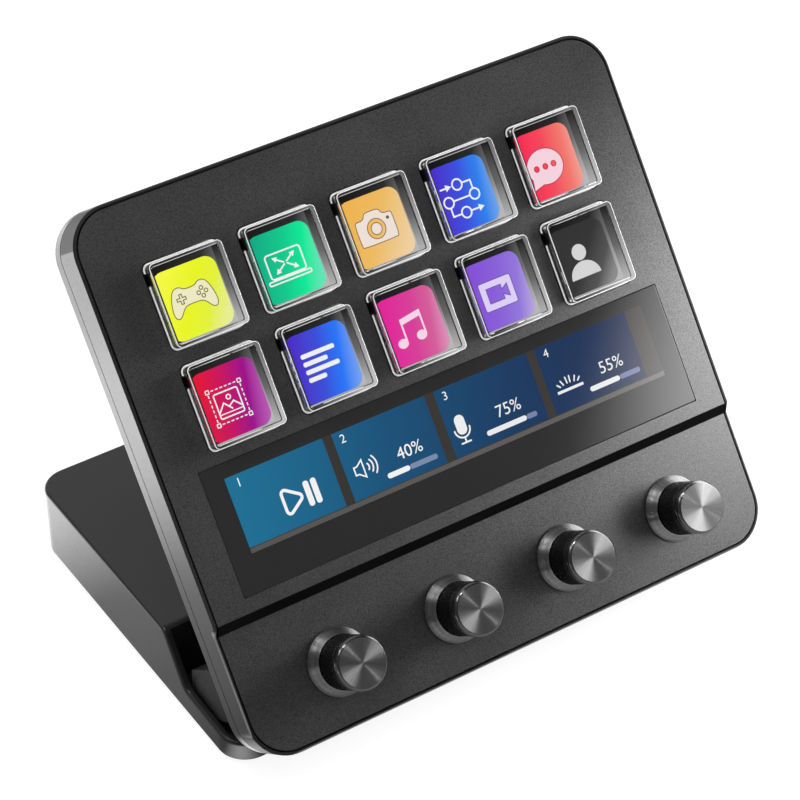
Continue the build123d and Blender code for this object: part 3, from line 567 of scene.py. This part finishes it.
# Where each symbol's centre lies, and the right edge of each lit ground.
SYMBOL_PLACES = ((-0.2, 0.1), (-0.4, -0.37), (-0.3, 0.35), (-1.2, -0.65), (-1.75, -1.0),
                 (-0.85, -0.5), (-0.6, 0.0), (-1.2, -0.44), (-0.74, -0.32), (-1.0, -0.6))
GROUND_RIGHTS = (7.75, 7.75, 7.75, 7.1, 7.0, 7.75, 7.75, 7.5, 7.2, 7.2)
GROUND_LEFT = -7.9
GROUND, SYMBOL, LINE, BLOCK_SIDE, PAINTED_GLOW = range(5)


# A shape is a list of loops: an outline and the holes in it. Each picture gives the shapes of its
# symbol, and those of the thin lines on them.
def arrow(x0, y0, x1, y1, width=0.5, head=1.5):
    """A straight line with a solid arrow head at its far end."""
    aim = Vector((x1 - x0, y1 - y0)).normalized()
    side = Vector((-aim.y, aim.x))
    tip, base = Vector((x1, y1)), Vector((x1, y1)) - aim * head
    neck = base + aim * 0.1
    return [stroke([(x0, y0), tuple(neck)], width),
            [[tuple(tip), tuple(base + side * head * 0.55), tuple(base - side * head * 0.55)]]]


def smoothed(points, rounds=2):
    """A closed outline with its corners cut round."""
    for _ in range(rounds):
        cut = []
        for i, (x, y) in enumerate(points):
            px, py = points[i - 1]
            cut += [(px * 0.25 + x * 0.75, py * 0.25 + y * 0.75)]
            nx, ny = points[(i + 1) % len(points)]
            cut += [(nx * 0.25 + x * 0.75, ny * 0.25 + y * 0.75)]
        points = cut
    return points


def gamepad():
    """A game controller with a cross and four buttons."""
    right = [(1.4, 2.55), (2.2, 3.35), (3.6, 3.3), (4.5, 2.4), (5.3, 0.0), (5.55, -2.3),
             (4.9, -3.35), (3.9, -3.1), (2.7, -1.5), (1.7, -0.95)]
    body = right + [(-x, y) for x, y in reversed(right)]
    cross = [(-3.7, 0.4), (-2.9, 0.4), (-2.9, -0.4), (-2.3, -0.4), (-2.3, 0.4), (-1.5, 0.4),
             (-1.5, 1.0), (-2.3, 1.0), (-2.3, 1.8), (-2.9, 1.8), (-2.9, 1.0), (-3.7, 1.0)]
    rings = [stroke(disc(x, y, 0.42), 0.22, True)
             for x, y in ((2.6, 1.6), (2.6, -0.2), (1.7, 0.7), (3.5, 0.7))]
    body = smoothed(body)
    return [[body]], [stroke(body, 0.2, True), stroke(cross, 0.22, True), *rings]


def laptop():
    """A laptop whose screen has four arrows that point to its corners."""
    shapes = [stroke(rounded(8.9, 5.5, 0.7, 0, 0.55), 0.36, True),
              stroke(rounded(10.7, 0.8, 0.35, 0, -2.95), 0.34, True)]
    for sx in (-1, 1):
        for sy in (-1, 1):
            shapes += arrow(sx * 0.4, 0.55 + sy * 0.25, sx * 2.9, 0.55 + sy * 1.9, 0.36, 1.2)
    return shapes, []


def camera_icon():
    """A stills camera with a hump, an open lens ring and a small lamp."""
    body = [(-4.85, -3.75), (4.85, -3.75), (4.85, 2.3), (2.5, 2.3), (1.9, 3.75), (-1.9, 3.75),
            (-2.5, 2.3), (-4.85, 2.3)]
    corner_cut, outline = 0.45, []
    for i, corner in enumerate(body):
        here = Vector(corner)
        for beside in (Vector(body[i - 1]), Vector(body[(i + 1) % len(body)])):
            outline.append(tuple(here.lerp(beside, corner_cut / (here - beside).length)))
    outline = smoothed(outline, 1)
    ring, lens = disc(0, -0.45, 2.3), disc(0, -0.45, 1.35)
    lines = [stroke(loop, 0.18, True) for loop in (outline, ring, lens)]
    return [[outline, ring], [lens]], [*lines, [disc(3.5, 1.1, 0.4)]]


def flow():
    """Four linked stations of a flow chart."""
    shapes = [stroke(disc(x, y, 1.25), 0.4, True)
              for x, y in ((0, 3.35), (-3.5, 0), (3.5, 0), (0, -3.35))]
    shapes += arrow(-4.5, 3.35, -1.6, 3.35, 0.4)
    shapes.append(stroke([(1.45, 3.35), (3.5, 3.35), (3.5, 1.45)], 0.4))
    shapes.append(stroke([(-2.05, 0), (2.05, 0)], 0.4))
    shapes.append(stroke([(-3.5, -1.45), (-3.5, -3.35), (-1.45, -3.35)], 0.4))
    shapes += arrow(1.45, -3.35, 4.9, -3.35, 0.4)
    return shapes, []


def chat():
    """A round speech bubble with three dots cut out of it."""
    bubble = [(x * 1.16, y) for x, y in arc(0.0, 0.3, 4.2, -112, 210, 44)] + [(-4.7, -4.4)]
    dots = [disc(x, 0.3, 0.66) for x in (-2.35, 0.05, 2.35)]
    return [[bubble, *dots]], [stroke(loop, 0.18, True) for loop in (bubble, *dots)]


def crop_frame():
    """A picture in a dashed frame with square corners."""
    shapes = [stroke(rounded(5.9, 5.6, 0.4), 0.32, True),
              stroke(disc(0.35, 1.35, 0.5), 0.28, True),
              stroke([(-2.8, -1.4), (-1.2, 0.4), (0.4, -1.3)], 0.32),
              stroke([(-0.2, -0.7), (1.2, 0.2), (2.8, -1.4)], 0.32),
              stroke([(-2.8, -1.9), (2.8, -1.9)], 0.24)]
    for step in range(6):
        shift = (step - 2.5) * 1.12
        shapes += [[rounded(0.68, 0.26, 0.05, shift, y, 2)] for y in (3.85, -3.85)]
        shapes += [[rounded(0.26, 0.68, 0.05, x, shift, 2)] for x in (4.0, -4.0)]
    for x in (-4.0, 4.0):
        for y in (-3.85, 3.85):
            shapes.append(stroke(rounded(0.8, 0.8, 0.1, x, y, 2), 0.24, True))
    return shapes, []


def text_lines():
    """Four lines of text, one of them short."""
    return [[rounded(width, 1.05, 0.4, width / 2 - 4.3, y, 4)]
            for width, y in ((8.6, 2.75), (6.2, 0.92), (8.6, -0.92), (4.6, -2.75))], []


def music():
    """Two beamed notes."""
    shapes = [[[(x * 1.2 + shift, y) for x, y in disc(0, height, 1.1)]]
              for shift, height in ((-2.6, -2.5), (2.5, -2.1))]
    shapes.append(stroke([(-1.5, -2.4), (-1.5, 2.6)], 0.45))
    shapes.append(stroke([(3.65, -2.0), (3.65, 3.3)], 0.45))
    shapes.append([[(-1.72, 1.45), (3.87, 2.25), (3.87, 3.65), (-1.72, 2.85)]])
    return shapes, []


def video():
    """A plate with a video camera cut out of it."""
    plate = rounded(8.7, 6.7, 0.5)
    hole = [(-2.7, -1.75), (1.3, -1.75), (1.3, -0.6), (2.9, -1.5), (2.9, 1.5), (1.3, 0.6),
            (1.3, 1.75), (-2.7, 1.75)]
    return [[plate, hole]], [stroke(loop, 0.16, True) for loop in (plate, hole)]


def person():
    """A plain head and shoulders."""
    shoulders = [(x, -3.87 + y * 0.93) for x, y in arc(0, 0, 4.05, 0, 180, 30)]
    return [[disc(0, 2.05, 1.9)], [shoulders]], []


PICTURES = (gamepad, laptop, camera_icon, flow, chat, crop_frame, text_lines, music, video, person)
LINER_OUTER, LINER_INNER = (16.50, 17.80, 0.55), (16.20, 17.50, 0.40)
LINER_LOW, LINER_HIGH = 24.55, 29.30
# The layers of a lit picture, from its dark block up to the symbol and the thin lines on it.
GUIDE_RADIUS = 3.3
GUIDE_BLOCK_TOP = GUIDE_TOP - 0.12
SURROUND_SHAPE = (16.1, 17.4, 0.35)
SURROUND_TOP = GUIDE_TOP - 0.08
GROUND_HEIGHT, GROUND_RADIUS, GROUND_Y = GUIDE_SIZE + 0.05, 2.7, -0.02
SYMBOL_LEVEL, LINE_LEVEL = GUIDE_TOP - 0.05, GUIDE_TOP - 0.03
LAYER = 0.02


def liner_mesh():
    """A thin dark sleeve inside a cap's walls, open at both ends, whose inside glows as painted
    light.
    """
    rings = [[(x, y, z) for x, y in rounded(*shape)]
             for shape, z in ((LINER_OUTER, LINER_LOW), (LINER_OUTER, LINER_HIGH),
                              (LINER_INNER, LINER_HIGH), (LINER_INNER, LINER_LOW))]
    mesh = bmesh.new()
    outside, inside = 0, 1
    stack(mesh, rings, (outside, outside, inside, outside), ends=False)
    return mesh_data("liner", mesh, [LINER_OUTSIDE, LINER_PAINTED_LIGHT])


def picture_mesh(index):
    """The lit picture under a key: a dark block, a painted glow round it, a coloured ground and
    what is drawn on it."""
    mesh = bmesh.new()
    prism(mesh, [rounded(GUIDE_SIZE, GUIDE_SIZE, GUIDE_RADIUS)], GUIDE_LOW, GUIDE_BLOCK_TOP,
          BLOCK_SIDE)
    prism(mesh, [rounded(*SURROUND_SHAPE, 0, GUIDE_DROP)], GUIDE_BLOCK_TOP, SURROUND_TOP, PAINTED_GLOW)
    right = GROUND_RIGHTS[index]
    prism(mesh, [rounded(right - GROUND_LEFT, GROUND_HEIGHT, GROUND_RADIUS,
                         (right + GROUND_LEFT) / 2, GROUND_Y)], SURROUND_TOP, SYMBOL_LEVEL,
          GROUND)
    shift_x, shift_y = SYMBOL_PLACES[index]
    symbol_shapes, line_shapes = PICTURES[index]()
    for shapes, level, finish in ((symbol_shapes, SYMBOL_LEVEL, SYMBOL),
                                  (line_shapes, LINE_LEVEL, LINE)):
        for loops in shapes:
            moved = [[(x + shift_x, y + shift_y) for x, y in loop] for loop in loops]
            prism(mesh, moved, level, level + LAYER, finish)
    number = index + 1
    direction, stops = PICTURE_COLOURS[number]
    ground = lit_picture(f"lit_ground_{number}", [(at, linear(*rgb)) for at, rgb in stops],
                         direction)
    symbol, line = [lit_picture(f"lit_{use}_{number}", [(0, linear(*rgb)), (1, linear(*rgb))])
                    for use, rgb in zip(("symbol", "line"), SYMBOL_TONES.get(number, PLAIN_TONES))]
    return mesh_data(f"picture_{number}", mesh, [ground, symbol, line, LINER_OUTSIDE, SURROUND_PAINTED_LIGHT])


cap_data, liner_data = cut_notch(keycap_mesh()), liner_mesh()
for index in range(len(PICTURES)):
    number = index + 1
    key_x = FIRST_KEY[0] + index % KEY_COLUMNS * KEY_PITCH[0]
    key_y = FIRST_KEY[1] - index // KEY_COLUMNS * KEY_PITCH[1]
    place = head_at(key_x, key_y)
    piece(f"clear_key_{number}", cap_data, place, f"key_{number}", "clear_plastic",
          f"keycap_{number}")
    piece(f"key_liner_{number}", liner_data, place, f"key_{number}", "silicone",
          f"keycap_{number}")
    piece(f"picture_{number}", picture_mesh(index), head_at(key_x, key_y - GUIDE_DROP), "head",
          "screen", "light_guides")


# ---- Touch strip ----
# The tiles' middles and widths.
TILES = ((-43.68, 24.95), (-16.58, 24.55), (10.9, 25.5), (38.7, 25.6))
TILE_Y, TILE_HEIGHT = 3.15, 16.1
DISPLAY_CENTRE = (0.25, 35.55)
# The face of the glass. The lit layers lie on it, under the level of the CAD's own face.
GLASS_TOP = STRIP_HIGH - 0.04
BAND_SHAPE = (112.4, 17.5, 0.3, 0.05, 2.55)
FOOT_SHAPE = (112.4, 1.1, 0.1, 0.05, -5.65)
# How far in the edge of the glass lies, and at what level.
GLASS_PROFILE = ((0.0, STRIP_LOW), (0.0, 27.42), (0.04, 27.52), (0.14, GLASS_TOP),
                 (0.24, GLASS_TOP))
# Sizes, places and finishes of what is displayed.
LABEL_SIZE, LABEL_Y = 2.8, 8.4
NUMBER_SIZE, NUMBER_X, NUMBER_Y = 4.0, 3.9, -0.06
BAR_WIDTH, BAR_Y = 1.2, -2.46
FOOT, BAND, TILE, LIT, REST = range(5)


def progress(mesh, x, y, length, share, low, high):
    """A rounded bar, white up to a share of its length."""
    split, end = x + length * share, x + length
    prism(mesh, stroke([(x + BAR_WIDTH / 2, y), (split, y)], BAR_WIDTH), low, high, LIT)
    prism(mesh, [rounded(end - split - 0.7, BAR_WIDTH, 0.5, (end + split + 0.7) / 2, y)],
          low, high, REST)


def play_and_pause(mesh, low, high):
    """The first tile's outlined triangle and two bars."""
    triangle = (arc(-44.15, -0.76, 0.8, 180, 300, 8) + arc(-41.25, 1.14, 0.8, -60, 60, 8)
                + arc(-44.15, 3.04, 0.8, 60, 180, 8))
    prism(mesh, stroke(triangle, 0.72, True), low, high, LIT)
    for x in (-38.65, -36.75):
        prism(mesh, [rounded(1.4, 5.8, 0.6, x, 1.1, 4)], low, high, LIT)


def speaker(mesh, low, high):
    """The second tile's loudspeaker with three waves."""
    horn = [(-26.5, 0.5), (-25.7, 0.5), (-24.2, -0.6), (-24.2, 3.4), (-25.7, 2.3), (-26.5, 2.3)]
    prism(mesh, stroke(horn, 0.34, True), low, high, LIT)
    for radius in (1.1, 2.1, 3.1):
        prism(mesh, stroke(arc(-23.9, 1.4, radius, -40, 40, 12), 0.36), low, high, LIT)


def microphone(mesh, low, high):
    """The third tile's microphone on its stand."""
    prism(mesh, [rounded(2.6, 4.6, 1.25, 1.9, 1.9)], low, high, LIT)
    prism(mesh, stroke(arc(1.9, 0.9, 2.0, 180, 360, 16), 0.4), low, high, LIT)
    prism(mesh, stroke([(1.9, -1.2), (1.9, -2.2)], 0.4), low, high, LIT)
    prism(mesh, stroke([(0.7, -2.3), (3.1, -2.3)], 0.4), low, high, LIT)


def half_sun(mesh, low, high):
    """The fourth tile's six rays over a line."""
    prism(mesh, [rounded(7.2, 0.65, 0.1, 31.55, -0.35, 2)], low, high, LIT)
    for side in (-1, 1):
        for near, far in (((0.42, 1.15), (0.55, 2.55)), ((1.5, 1.0), (2.0, 2.1)),
                          ((2.45, 0.8), (3.1, 1.45))):
            ray = [(31.55 + side * x, y) for x, y in (near, far)]
            prism(mesh, stroke(ray, 0.36), low, high, LIT)


TILE_SHAPES = (play_and_pause, speaker, microphone, half_sun)
LABEL_PLACES = (-53.9, -27.2, 0.0, 27.8)
# Each bar's left end, its length, what is written over it and the share that is lit.
LEVELS = ((-19.4, 13.3, "40%", 0.40), (7.4, 13.8, "75%", 0.75), (36.3, 14.2, "55%", 0.55))


def strip_mesh():
    """What the strip displays: a dark unlit band, lit tiles and their glyphs."""
    mesh = bmesh.new()
    base, low, high = GLASS_TOP + 0.01, GLASS_TOP + 0.02, GLASS_TOP + 0.035
    prism(mesh, [rounded(*BAND_SHAPE)], GLASS_TOP, base, BAND)
    prism(mesh, [rounded(*FOOT_SHAPE)], base, GLASS_TOP + 0.015, FOOT)
    for index, (x, width) in enumerate(TILES):
        prism(mesh, [rounded(width, TILE_HEIGHT, 0.2, x, TILE_Y)], base, low, TILE)
        lettering(mesh, str(index + 1), LABEL_SIZE, LABEL_PLACES[index], LABEL_Y, low, high, LIT)
        TILE_SHAPES[index](mesh, low, high)
    for x, length, text, share in LEVELS:
        lettering(mesh, text, NUMBER_SIZE, x + NUMBER_X, NUMBER_Y, low, high, LIT)
        progress(mesh, x, BAR_Y, length, share, low, high)
    tiles = lit_picture("lit_tiles", [(0, linear(10, 112, 150)), (0.35, linear(6, 78, 120)),
                                      (0.65, linear(4, 52, 94)), (1, linear(6, 28, 74))],
                        (1, -0.25), 56, **GLASS_GLOSS)
    unlit = {"roughness": 0.5, "grain": 5000.0, "depth": 0.0, **GLASS_GLOSS}
    band = textured("unlit_band", (0.043, 0.040, 0.036), **unlit)
    foot = textured("unlit_foot", (0.115, 0.108, 0.104), **unlit)
    white = lit_picture("lit_white", [(0, linear(246, 246, 246)), (1, linear(238, 238, 240))],
                        **GLASS_GLOSS)
    rest = lit_picture("lit_rest", [(0, linear(120, 140, 170)), (1, linear(120, 130, 170))],
                       **GLASS_GLOSS)
    return mesh_data("strip_display", mesh, [foot, band, tiles, white, rest])


def glass_mesh():
    """The strip's cover glass, black behind, with a fine rounded edge."""
    width, height = STRIP_SIZE
    mesh = bmesh.new()
    rings = [[(x, y, z) for x, y in rounded(width - 2 * inset, height - 2 * inset, 0.5 - inset)]
             for inset, z in GLASS_PROFILE]
    stack(mesh, rings, [0] * len(rings))
    return mesh_data("strip_glass", mesh, [SLOT_FINISHES["glass"]], smooth=True)


piece("strip_display", strip_mesh(), head_at(*DISPLAY_CENTRE), "head", "screen", "touch_glass")
piece("strip_glass", glass_mesh(), head_at(*STRIP_CENTRE), "head", "glass", "touch_glass")

# ---- Knobs ----
KNOB_TURNS = 280
KNURL_TURNS = 70
KNURL_LOW, KNURL_HIGH = 29.45, 35.4
KNURL_PITCH = 0.56
KNURL_DEPTH = 0.11
KNURL_RADIUS = 6.2
KNURL_ROWS = round((KNURL_HIGH - KNURL_LOW) / KNURL_PITCH * 4)
# Radius, level and finish: the flared skirt and the groove under the knurl, then the smooth band
# over it, the top and the bore, down and back to the start.
SLEEVE, SKIRT, SMOOTH_BAND = range(3)
SKIRT_PROFILE = (
    (7.70, 26.10, SLEEVE), (7.80, 26.16, SKIRT), (7.80, 26.26, SKIRT), (7.10, 27.15, SKIRT),
    (6.62, 28.00, SKIRT), (6.34, 28.80, SKIRT), (6.26, 28.90, SLEEVE), (5.85, 28.92, SLEEVE),
    (5.80, 28.98, SLEEVE), (5.80, 29.22, SLEEVE), (6.00, 29.28, SLEEVE), (6.14, 29.36, SLEEVE))
TOP_PROFILE = (
    (6.10, 35.50, SMOOTH_BAND), (6.16, 35.58, SMOOTH_BAND), (6.20, 35.66, SMOOTH_BAND),
    (6.20, 37.28, SMOOTH_BAND), (6.14, 37.36, SLEEVE), (6.02, 37.38, SLEEVE),
    (4.02, 37.38, SLEEVE), (4.02, 36.60, SLEEVE), (3.02, 36.60, SLEEVE), (3.02, 28.30, SLEEVE),
    (5.90, 28.30, SLEEVE), (5.90, 26.12, SLEEVE), (6.00, 26.10, SLEEVE))
# The disc on top, from its spigot out and up to its face.
SPUN, POLISHED = range(2)
DISC_PROFILE = (
    (4.00, 36.62, POLISHED), (4.00, 37.40, POLISHED), (6.08, 37.40, POLISHED),
    (6.18, 37.48, POLISHED), (6.20, 37.60, POLISHED), (6.20, 38.00, POLISHED),
    (6.16, 38.08, POLISHED), (5.72, 38.54, POLISHED), (5.64, 38.59, POLISHED),
    (5.56, 38.60, SPUN), (5.46, 38.60, SPUN))


def knurl(angle_share, z):
    """How far the diamond knurl is cut in, at a point of the sleeve."""
    turn, rise = angle_share * KNURL_TURNS, (z - KNURL_LOW) / KNURL_PITCH
    return KNURL_DEPTH * max(abs((turn + rise) % 1 - 0.5), abs((turn - rise) % 1 - 0.5)) * 2


def circle_ring(radius, z, cut=False):
    """One loop of a turned piece, following the knurl where it is cut."""
    points = []
    for step in range(KNOB_TURNS):
        share = step / KNOB_TURNS
        reach = radius - (knurl(share, z) if cut else 0)
        points.append((reach * math.cos(math.tau * share), reach * math.sin(math.tau * share), z))
    return points


def turned(profile):
    """The rings of a turned piece, and the finishes of the bands between them."""
    return [circle_ring(radius, z) for radius, z, _ in profile], [row[-1] for row in profile]


def knob_mesh():
    """A knob: a flared polished skirt, a groove, a knurled sleeve and a smooth band."""
    rings, finishes = turned(SKIRT_PROFILE)
    for row in range(KNURL_ROWS + 1):
        level = KNURL_LOW + (KNURL_HIGH - KNURL_LOW) * row / KNURL_ROWS
        rings.append(circle_ring(KNURL_RADIUS, level, True))
        finishes.append(SLEEVE)
    top_rings, top_finishes = turned(TOP_PROFILE)
    mesh = bmesh.new()
    stack(mesh, rings + top_rings, finishes + top_finishes, ends=False)
    return mesh_data("knob", mesh, [SLOT_FINISHES["black_metal"], SKIRT_METAL, BAND_METAL],
                     smooth=True, sharp=40)


def knob_cap_mesh():
    """The spun disc on a knob, with a polished chamfer and a spigot."""
    mesh = bmesh.new()
    stack(mesh, *turned(DISC_PROFILE))
    return mesh_data("knob_disc", mesh, [SLOT_FINISHES["bright_metal"], BAND_METAL], smooth=True)


knob_data, disc_data = knob_mesh(), knob_cap_mesh()
for index in range(KNOB_COUNT):
    number = index + 1
    place = head_at(FIRST_KNOB[0] + index * KNOB_PITCH, FIRST_KNOB[1])
    piece(f"knurled_knob_{number}", knob_data, place, f"dial_{number}", "black_metal",
          f"knob_{number}")
    piece(f"spun_disc_{number}", disc_data, place, f"dial_{number}", "bright_metal",
          f"knob_cap_{number}")


# ---- Floor, light and camera ----
SMOOTH = {"interpolation_type": "SMOOTHSTEP"}
FLOOR_SIZE, FLOOR_Z = 6.0, -0.0002
FLOOR_SEEN, FLOOR_PAPER = 0.88, grey(0.30)
# What gloss sees of the floor: a strength along Y, at places in millimetres, and ranges along X,
# each with its two ends and the values there. They are the most that the strength reaches, and a
# dip in it, which lies between two places along Y with a soft edge.
FLOOR_RUN = (-50, 150)
FLOOR_MOST = 5.0
FLOOR_GLOSS = ((-36, 0.22), (-24, 0.42), (-10, 0.54), (4, 0.87), (19, 1.35), (33, 2.2), (48, 3.1),
               (62, 3.8), (91, 4.2), (119, 3.1))
FLOOR_LIMIT = (-0.06, 0.0, FLOOR_MOST, 0.9)
FLOOR_DIP = (-0.098, -0.088, 0.0, 0.45)
FLOOR_DIP_Y = (0.0, 0.035, 0.015)
# A bright patch beside the base's front corner, by the distance from its middle.
PATCH_PLACE = (-0.071, -0.049, 0)
PATCH = (0.009, 0.002, 0.0, 5.0)
# What gloss sees round the object, by direction: a grey that falls off to the right, a bright
# back, and what dims that back at the right and at the left.
WORLD_GREY = (0.25, 0.5, 0.13, 0.04)
WORLD_BACK = (0.2, 0.6, 0.0, 0.75)
WORLD_RIGHT = (0.5, 0.75, 1.0, 0.15)
WORLD_LEFT = (-0.55, -0.3, 0.1, 1.0)
# The even light on matt surfaces.
WORLD_EVEN = 0.45


def plane(name, width, height, place):
    """A staged flat sheet, facing along its own +Z."""
    data = bpy.data.meshes.new(name)
    corners = [(x * width / 2, y * height / 2, 0) for x, y in ((-1, -1), (1, -1), (1, 1), (-1, 1))]
    data.from_pydata(corners, [], [(0, 1, 2, 3)])
    made = bpy.data.objects.new(name, data)
    bpy.context.collection.objects.link(made)
    made.matrix_world = place
    return made


def floor_material():
    """White as the camera sees it, with the object's shadow kept faint. Gloss sees a floor that
    is dim in front of the object and brightly lit behind its left side."""
    material, tree = new_material("floor_white")
    rays = node(tree, "LightPath").outputs
    place = node(tree, "TexCoord").outputs["Object"]
    x, y, _ = node(tree, "SeparateXYZ", {0: place}).outputs
    front, back = FLOOR_RUN
    ramp = node(tree, "ValToRGB", {0: ranged(tree, y, front * MM, back * MM)})
    fill_ramp(ramp, [((at - front) / (back - front), grey(strength / FLOOR_MOST))
                     for at, strength in FLOOR_GLOSS])
    pool = math_node(tree, "MULTIPLY", ramp.outputs[0], FLOOR_MOST)
    pool = math_node(tree, "MINIMUM", pool, ranged(tree, x, *FLOOR_LIMIT))
    dip = math_node(tree, "MULTIPLY", ranged(tree, x, *FLOOR_DIP),
                    between(tree, y, *FLOOR_DIP_Y))
    pool = math_node(tree, "MULTIPLY", pool, math_node(tree, "SUBTRACT", 1.0, dip))
    away = node(tree, "VectorMath", {0: place, 1: PATCH_PLACE}, operation="DISTANCE")
    pool = math_node(tree, "MAXIMUM", pool, ranged(tree, away.outputs["Value"], *PATCH))
    seen = math_node(tree, "MULTIPLY", FLOOR_SEEN, math_node(
        tree, "MAXIMUM", rays["Is Camera Ray"], rays["Is Transmission Ray"]))
    power = math_node(tree, "MAXIMUM", seen,
                      math_node(tree, "MULTIPLY", rays["Is Glossy Ray"], pool))
    glow = node(tree, "Emission", {"Color": grey(1), "Strength": power})
    paper = node(tree, "BsdfDiffuse", {"Color": FLOOR_PAPER})
    both = node(tree, "AddShader", {0: glow.outputs[0], 1: paper.outputs[0]})
    node(tree, "OutputMaterial", {"Surface": both.outputs[0]})
    return material


def card(name, spot, aim, width, height, strength, soft=0.4, roll=0.0):
    """A soft light card at a spot, with its back along a direction and turned about it. It shines
    from its front alone, and fades out over a share of its size at each edge."""
    turn = Vector(aim).to_track_quat("Z", "Y").to_matrix().to_4x4()
    place = (Matrix.Translation(spot) @ turn @ Matrix.Rotation(math.radians(roll), 4, "Z")
             @ Matrix.Rotation(math.radians(180), 4, "Y"))
    made = plane(name, width, height, place)
    material, tree = new_material(name)
    across = node(tree, "SeparateXYZ", {0: node(tree, "TexCoord").outputs["Generated"]}).outputs
    fades = []
    for share in across[:2]:
        inward = math_node(tree, "MINIMUM", share, math_node(tree, "SUBTRACT", 1.0, share))
        fades.append(ranged(tree, inward, 0.0, soft, **SMOOTH))
    front = math_node(tree, "SUBTRACT", 1.0, node(tree, "NewGeometry").outputs["Backfacing"])
    power = math_node(tree, "MULTIPLY", math_node(tree, "MULTIPLY", *fades),
                      math_node(tree, "MULTIPLY", front, strength))
    glow = node(tree, "Emission", {"Strength": power})
    node(tree, "OutputMaterial", {"Surface": glow.outputs[0]})
    made.data.materials.append(material)
    made.visible_camera = False
    made.visible_shadow = False


def studio_world():
    """White to the camera, a soft grey studio to gloss, and even light on matt surfaces."""
    world = bpy.data.worlds.new("studio")
    world.use_nodes = True
    tree = world.node_tree
    tree.nodes.clear()
    rays = node(tree, "LightPath").outputs
    x, y, _ = node(tree, "SeparateXYZ", {0: node(tree, "TexCoord").outputs["Generated"]}).outputs
    around = ranged(tree, x, *WORLD_GREY, **SMOOTH)
    back = math_node(tree, "MULTIPLY", ranged(tree, y, *WORLD_BACK, **SMOOTH),
                     ranged(tree, x, *WORLD_RIGHT))
    back = math_node(tree, "MULTIPLY", back, ranged(tree, x, *WORLD_LEFT))
    mirrored = math_node(tree, "MULTIPLY", math_node(tree, "MAXIMUM", around, back), math_node(
        tree, "MAXIMUM", rays["Is Glossy Ray"], rays["Is Transmission Ray"]))
    other = math_node(tree, "ADD", mirrored,
                      math_node(tree, "MULTIPLY", rays["Is Diffuse Ray"], WORLD_EVEN))
    strength = math_node(tree, "MAXIMUM", rays["Is Camera Ray"], other)
    sky = node(tree, "Background", {"Color": grey(1), "Strength": strength})
    node(tree, "OutputWorld", {"Surface": sky.outputs[0]})
    bpy.context.scene.world = world


floor = plane("floor", FLOOR_SIZE, FLOOR_SIZE, Matrix.Translation((0, 0, FLOOR_Z)))
floor.data.materials.append(floor_material())
studio_world()
card("right_softbox", (0.134, -0.087, 0.086), (1.0, 0.08, 1.0), 0.35, 0.102, 7.2, soft=0.45)
card("top_strip", (-0.16, 0.0, 0.79), (-0.20, 0.08, 0.95), 0.44, 0.05, 45.0, roll=67)
card("upper_left", (-0.42, 0.10, 0.62), (-0.58, 0.18, 0.74), 0.30, 0.12, 9.0)
card("left_softbox", (-0.62, -0.20, 0.06), (-1.0, -0.2, 0.04), 0.40, 0.10, 1.6)
card("far_softbox", (1.08, -0.16, 0.29), (0.968, -0.094, 0.232), 0.52, 0.56, 23.0, soft=0.2,
     roll=-17)

camera_data = bpy.data.cameras.new("camera")
camera_data.lens = 128.90325
camera_data.sensor_width = 36.0
camera_data.clip_start = 0.01
camera = bpy.data.objects.new("camera", camera_data)
camera.location = (-0.277014, -0.445662, 0.465802)
camera.rotation_mode = "QUATERNION"
camera.rotation_quaternion = (0.8639997409, 0.4160338869, -0.1164958955, -0.2585516563)
bpy.context.collection.objects.link(camera)
bpy.context.scene.camera = camera
bpy.context.scene.view_settings.view_transform = "Standard"
